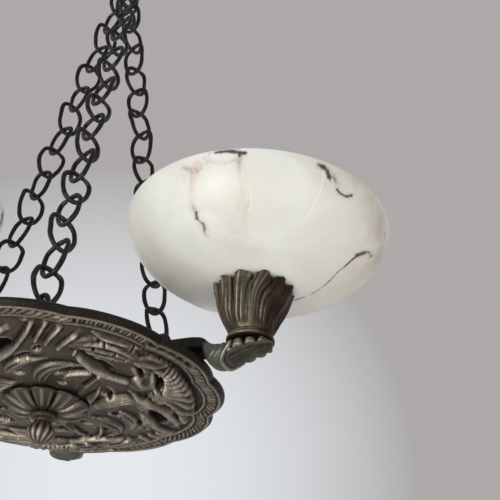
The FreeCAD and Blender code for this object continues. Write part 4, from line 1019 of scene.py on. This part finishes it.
# Where the stone's marks run on the first bowl's outside, with one painted shadow line among the veins: azimuth
# in degrees, radius in millimetres.
# A vein fades to nothing within VEIN_REACH times its half width.
VEIN_REACH = 6.0
VEINS = [
    # path, half width, strength at its start and at its end
    ([(-143, 99.9), (-139, 99.9), (-135, 99.8), (-131, 99.6)], 1.2, 1.0, 1.0),
    ([(-133, 99.5), (-133, 98.5), (-132.6, 96)], 1.1, 1.0, 0.5),
    ([(-153, 97), (-155, 91), (-157, 84), (-157, 78)], 0.7, 0.35, 0.65),
    ([(-157, 79), (-158, 76), (-156, 71), (-158, 66), (-157, 62)], 1.0, 1.0, 0.8),
    ([(-101, 99.6), (-98, 99.2), (-96, 98.6), (-93, 98), (-91, 96), (-90, 94.5)], 1.3, 1.0, 0.7),
    ([(-91, 95.6), (-88, 95), (-85, 95.4), (-83, 96.5)], 1.0, 0.9, 0.9),
    ([(-97, 98.6), (-92, 99), (-87, 98.6)], 0.7, 0.6, 0.2),
    ([(-47, 86), (-51, 85), (-54, 81), (-55.5, 78)], 1.6, 0.9, 1.0),
    ([(-55, 78), (-54.5, 74), (-52, 67), (-50, 62), (-45, 57), (-38, 51), (-30, 45), (-20, 37)], 0.85, 1.0, 0.85),
    ([(-22, 39), (-16, 34), (-10, 31)], 0.8, 0.95, 0.9),
    ([(-99, 99.6), (-97, 99), (-96, 98)], 1.3, 1.0, 1.0),
    ([(-96, 98), (-94, 96), (-92, 93)], 0.8, 0.9, 0.5),
    ([(-94, 98.4), (-91, 97.2), (-88, 94.5)], 0.7, 0.8, 0.5),
    ([(-153, 98), (-155, 94), (-156, 88)], 0.7, 0.8, 0.7),
    # painted shadow: a thin dark line along the lower left outline of the first bowl, not a vein
    ([(93, 70), (89, 58), (86, 48)], 0.9, 0.7, 0.9),
]
SMOKES = [
    ([(-147, 99.5), (-143, 98.5), (-138, 98), (-134, 98.4)], 4.0, 0.55, 0.45),
    ([(-157, 99), (-154, 98), (-151, 97.4), (-149, 98)], 3.4, 0.6, 0.5),
    ([(-157, 97), (-158, 95)], 3.0, 0.35, 0.3),
    ([(-133, 99), (-133, 94), (-133, 88)], 2.2, 0.6, 0.2),
    ([(-101, 99.6), (-96, 99.2), (-91, 97.6), (-86, 97)], 4.6, 0.6, 0.45),
    ([(-97, 96), (-94, 95)], 3.0, 0.4, 0.3),
    ([(-46, 87), (-50, 86.5), (-54, 84)], 5.0, 0.55, 0.35),
    ([(-54, 78), (-53, 72)], 3.0, 0.4, 0.2),
    ([(-147, 100), (-140, 100), (-133, 100)], 2.6, 0.6, 0.7),
    ([(-156, 92), (-157, 84), (-157, 76)], 2.2, 0.35, 0.6),
]
CREAMS = [
    ([(-130, 97), (-129, 90), (-128, 82), (-129, 76)], 1.1, 0.5, 0.9),
    ([(-99, 99), (-98, 95), (-98.5, 88), (-99, 80), (-101, 73)], 1.1, 0.9, 0.9),
    ([(-112, 99), (-115, 95), (-118, 90)], 1.0, 0.5, 0.3),
    ([(-172, 96), (-170, 88), (-171, 78)], 3.5, 0.5, 0.2),
    ([(178, 92), (176, 84), (178, 76)], 3.0, 0.45, 0.2),
]
BLUSHES = [
    ([(-138, 62), (-136, 52), (-132, 46)], 13.0, 0.42, 0.30),
    ([(163, 84), (160, 76)], 9.0, 0.40, 0.30),
    ([(-152, 96), (-154, 88)], 7.0, 0.35, 0.15),
    ([(-132, 92), (-134, 84)], 9.0, 0.30, 0.15),
    ([(-151, 99), (-154, 93), (-157, 85), (-157, 77), (-156, 68)], 3.2, 0.75, 0.5),
    ([(-133, 99), (-133, 94), (-132, 86), (-134, 78)], 3.0, 0.7, 0.35),
    ([(-130, 80), (-132, 70), (-133, 62)], 3.0, 0.45, 0.35),
    ([(-30, 62), (-18, 58), (-4, 60), (10, 64)], 26.0, 0.45, 0.40),
    ([(-40, 80), (-25, 82), (-5, 84)], 24.0, 0.55, 0.45),
    ([(-60, 90), (-50, 92)], 14.0, 0.40, 0.40),
]
TANS = [
    ([(-96, 101), (-84, 100.5), (-72, 99.5), (-60, 98), (-48, 96), (-34, 94)], 14.0, 0.30, 0.55),
    ([(-70, 99), (-58, 97), (-46, 95)], 9.0, 0.30, 0.45),
]


def surface_points(path):
    """Points on the outside of the stone, whose bottom curves like an ellipse, from azimuth and radius."""
    corners = smooth_path([(radius * math.cos(math.radians(turn)), radius * math.sin(math.radians(turn)))
                           for turn, radius in path], 5)
    share = np.clip(np.hypot(corners[:, 0], corners[:, 1]) / BOWL_RADIUS, 0, 1)
    return np.column_stack([corners, -BOWL_DEPTH * np.sqrt(1 - share ** 2)])


def marks_on(points, marks, soft):
    """How strongly each point is marked: full within the half width and fading beyond."""
    value = np.zeros(len(points))
    for path, half, first, last in marks:
        line = surface_points(path)
        steps = np.diff(line, axis=0)
        low = line.min(0) - half * VEIN_REACH
        high = line.max(0) + half * VEIN_REACH
        pick = np.flatnonzero(((points > low) & (points < high)).all(1))
        spot = points[pick]
        best = np.zeros(len(pick))
        for index, (start, step) in enumerate(zip(line, steps)):
            t = np.clip(((spot - start) @ step) / (step @ step), 0, 1)
            away = np.linalg.norm(spot - start - t[:, None] * step, axis=1)
            share = (index + t) / len(steps)
            strength = first + (last - first) * share
            fade = np.exp(-(away / half) ** 2) if soft else np.clip(1 - away / (VEIN_REACH * half), 0, 1)
            best = np.maximum(best, strength * fade)
        value[pick] = np.maximum(value[pick], best)
    return value


def bowl_profile():
    """The bowl's closed section as radius and height over its rim: outside up, over the rim and inside down."""
    foot_height = frame_box("bowl_1")[0][2] - frame_box("bowl_1")[1][2]
    foot = BOWL_RADIUS * math.sqrt(1 - (foot_height / BOWL_DEPTH) ** 2)
    lean = np.radians(np.linspace(0, 90, 130))
    outer = np.column_stack([BOWL_RADIUS * np.cos(lean), -BOWL_DEPTH * np.sin(lean)])[::-1]
    outer = outer[outer[:, 1] > foot_height + 0.15]
    under = [(6.3, foot_height), (foot - 1.0, foot_height), (foot + 0.3, foot_height + 0.1)]
    rim = [(BOWL_RADIUS - 0.25, -0.5), (BOWL_RADIUS - 0.9, -0.05), (BOWL_RADIUS - 3.5, 0.0),
           (BOWL_RADIUS - BOWL_WALL + 0.9, -0.05), (BOWL_RADIUS - BOWL_WALL + 0.2, -0.5)]
    inner_radius = BOWL_RADIUS - BOWL_WALL
    inner = np.column_stack([inner_radius * np.cos(lean), -BOWL_INNER_DEPTH * np.sin(lean)])[::2]
    inner = inner[(inner[:, 1] < -0.9) & (inner[:, 0] > 19.4)]
    floor = -BOWL_INNER_DEPTH
    inside = [(19.3, floor + 0.4), (18.6, floor), (6.3, floor)]
    return np.concatenate([under, outer[outer[:, 1] < -0.9], rim, inner, inside])


def make_bowls():
    columns = 640
    profile = bowl_profile()
    turn = np.arange(columns) / columns * 2 * math.pi
    swell = 1 - 0.0016 * (1 + np.sin(2 * turn + 0.7)) * ease(profile[:, :1], 40, 95)
    radius = profile[:, :1] * swell
    height = np.repeat(profile[:, 1:], columns, 1)
    local = np.stack([radius * np.cos(turn), radius * np.sin(turn), height], -1).reshape(-1, 3)
    faces = grid_faces(len(profile), columns)
    fields = {
        "vein": marks_on(local, VEINS, False),
        "smoke": marks_on(local, SMOKES, True),
        "cream": marks_on(local, CREAMS, True) * 0.8,
        "blush": marks_on(local, BLUSHES, True),
        "tan": marks_on(local, TANS, True),
    }
    for number in ARM_NUMBERS:
        x, y, _ = arm_axis(number)
        rim = frame_box(f"bowl_{number}")[1][2]
        spin = BOWL_SPINS[number]
        points = turned_to(local, spin, (x, y, rim))
        make_piece(f"bowl_stone_{number}", points, faces, "alabaster", "pendant", [f"bowl_{number}"], fields)



# ---------------------------------------------------------------- chains

LINK_LENGTH = 29.4
LINK_WIDTH = 24.5
LINK_WIRE = 1.95
LINK_STEP = 26.1
LINK_TWIST = -30.0
LINK_TURN = 45.0
EYE_WIRE = 2.0
EYE_RADIUS = 6.5
EYE_HOLD = 2.45
RING_WIRE = 2.5
RING_HOLD = 4.55
CHAIN_SPREADS = {"right": 0.0, "back": 28.0, "front": -28.0}
# A link's hand-bent outline from the middle of its top, as shares of half its width and length.
LINK_OUTLINE = [(0.0, 1.0), (-0.48, 1.0), (-0.90, 0.86), (-1.0, 0.50), (-0.92, 0.0), (-0.76, -0.48),
                (-0.44, -0.86),
                (0.0, -1.0), (0.46, -0.90), (0.84, -0.55), (1.0, -0.05), (0.96, 0.40), (0.78, 0.74), (0.40, 0.95)]


def wire_loop(line, radius, sides=10):
    """A closed tube along a loop of points. Its radius may change along it."""
    line = np.asarray(line, float)
    ahead = np.roll(line, -1, 0) - np.roll(line, 1, 0)
    ahead /= np.linalg.norm(ahead, axis=1)[:, None]
    normal = np.cross(ahead[0], (0.3, 0.9, 0.1))
    frames = []
    for way in ahead:
        normal = normal - way * (normal @ way)
        normal /= np.linalg.norm(normal)
        frames.append(normal.copy())
    frames = np.array(frames)
    beside = np.cross(ahead, frames)
    # Spread the last small twist over the loop, so that the tube closes on itself.
    first, last = frames[0], frames[-1]
    gap = math.atan2(first @ beside[-1], first @ last)
    ring = np.arange(sides) / sides * 2 * math.pi
    angles = ring[None, :] + gap * np.arange(len(line))[:, None] / (len(line) - 1)
    radius = np.broadcast_to(np.asarray(radius, float), (len(line),))
    tube = (line[:, None, :] + radius[:, None, None]
            * (frames[:, None, :] * np.cos(angles)[..., None] + beside[:, None, :] * np.sin(angles)[..., None]))
    return tube.reshape(-1, 3), grid_faces(len(line), sides)


def link_line(flip, rough):
    """One bent link in its own plane: width along X, length along Z, and a little warp along Y."""
    outline = np.array(LINK_OUTLINE)
    outline[:, 0] *= flip * LINK_WIDTH / 2
    outline[:, 1] *= LINK_LENGTH / 2
    jitter = rough * RNG.uniform(-1, 1, (len(outline), 2))
    jitter[[0, 7]] = 0
    outline += jitter
    line = smooth_path(outline, 4, closed=True)
    share = np.arange(len(line)) / len(line)
    warp = 0.7 * rough * np.sin(2 * math.pi * share + RNG.uniform(0, 6.28))
    return np.column_stack([line[:, 0], warp, line[:, 1]]), share


def make_chains():
    low, high = frame_box("gather_ring")
    ring_radius = (high[2] - low[2]) / 2 - RING_WIRE
    ring_centre = (low + high) / 2
    for name in CHAIN_NAMES:
        lean = math.radians(CHAIN_SPREADS[name])
        hang = ring_centre + ring_radius * np.array([0, math.sin(lean), -math.cos(lean)])
        low, high = frame_box(f"chain_eye_{name}")
        eye = (low + high) / 2
        eye[2] = high[2] - EYE_RADIUS - EYE_WIRE
        up = (hang - eye) / np.linalg.norm(hang - eye)
        start = eye + up * EYE_HOLD
        end = hang + up * RING_HOLD
        count = round((np.linalg.norm(end - start) - LINK_LENGTH) / LINK_STEP) + 1
        step = (np.linalg.norm(end - start) - LINK_LENGTH) / (count - 1)
        level = np.array([1.0, 0, 0]) - up * up[0]
        level /= np.linalg.norm(level)
        side = np.cross(up, level)
        points, faces, wear_and_highlight, offset = [], [], [], 0
        for index in range(count):
            turn = math.radians(LINK_TWIST + (LINK_TURN if index % 2 == 0 else -LINK_TURN))
            width = level * math.cos(turn) + side * math.sin(turn)
            thick = np.cross(up, width)
            line, share = link_line(-1 if index % 4 < 2 else 1, 0.55)
            seam = np.abs((share - 0.07 + 0.5) % 1 - 0.5)
            radius = LINK_WIRE * (1 - 0.22 * np.exp(-(seam / 0.012) ** 2) + 0.05 * np.sin(share * 19 + index))
            tube, quads = wire_loop(line, radius)
            middle = start + up * (LINK_LENGTH / 2 + step * index)
            basis = np.stack([width, thick, up])
            points.append(middle + tube @ basis)
            faces.append(quads + offset)
            offset += len(tube)
            wear_and_highlight.append(np.repeat(ease(np.abs(line[:, 2]), LINK_LENGTH * 0.42, LINK_LENGTH * 0.5), 10))
        make_piece(f"links_{name}", np.concatenate(points), np.concatenate(faces), "iron", "pendant",
                   [f"chain_{name}"], {"wear_and_highlight": np.concatenate(wear_and_highlight)})


# ---------------------------------------------------------------- everything

dress_cad_nodes()
make_camera()
make_stage()
make_plate()
make_rosette()
make_finial()
make_arms()
make_cups()
make_nipples()
make_bowls()
make_chains()

bpy.context.view_layer.update()
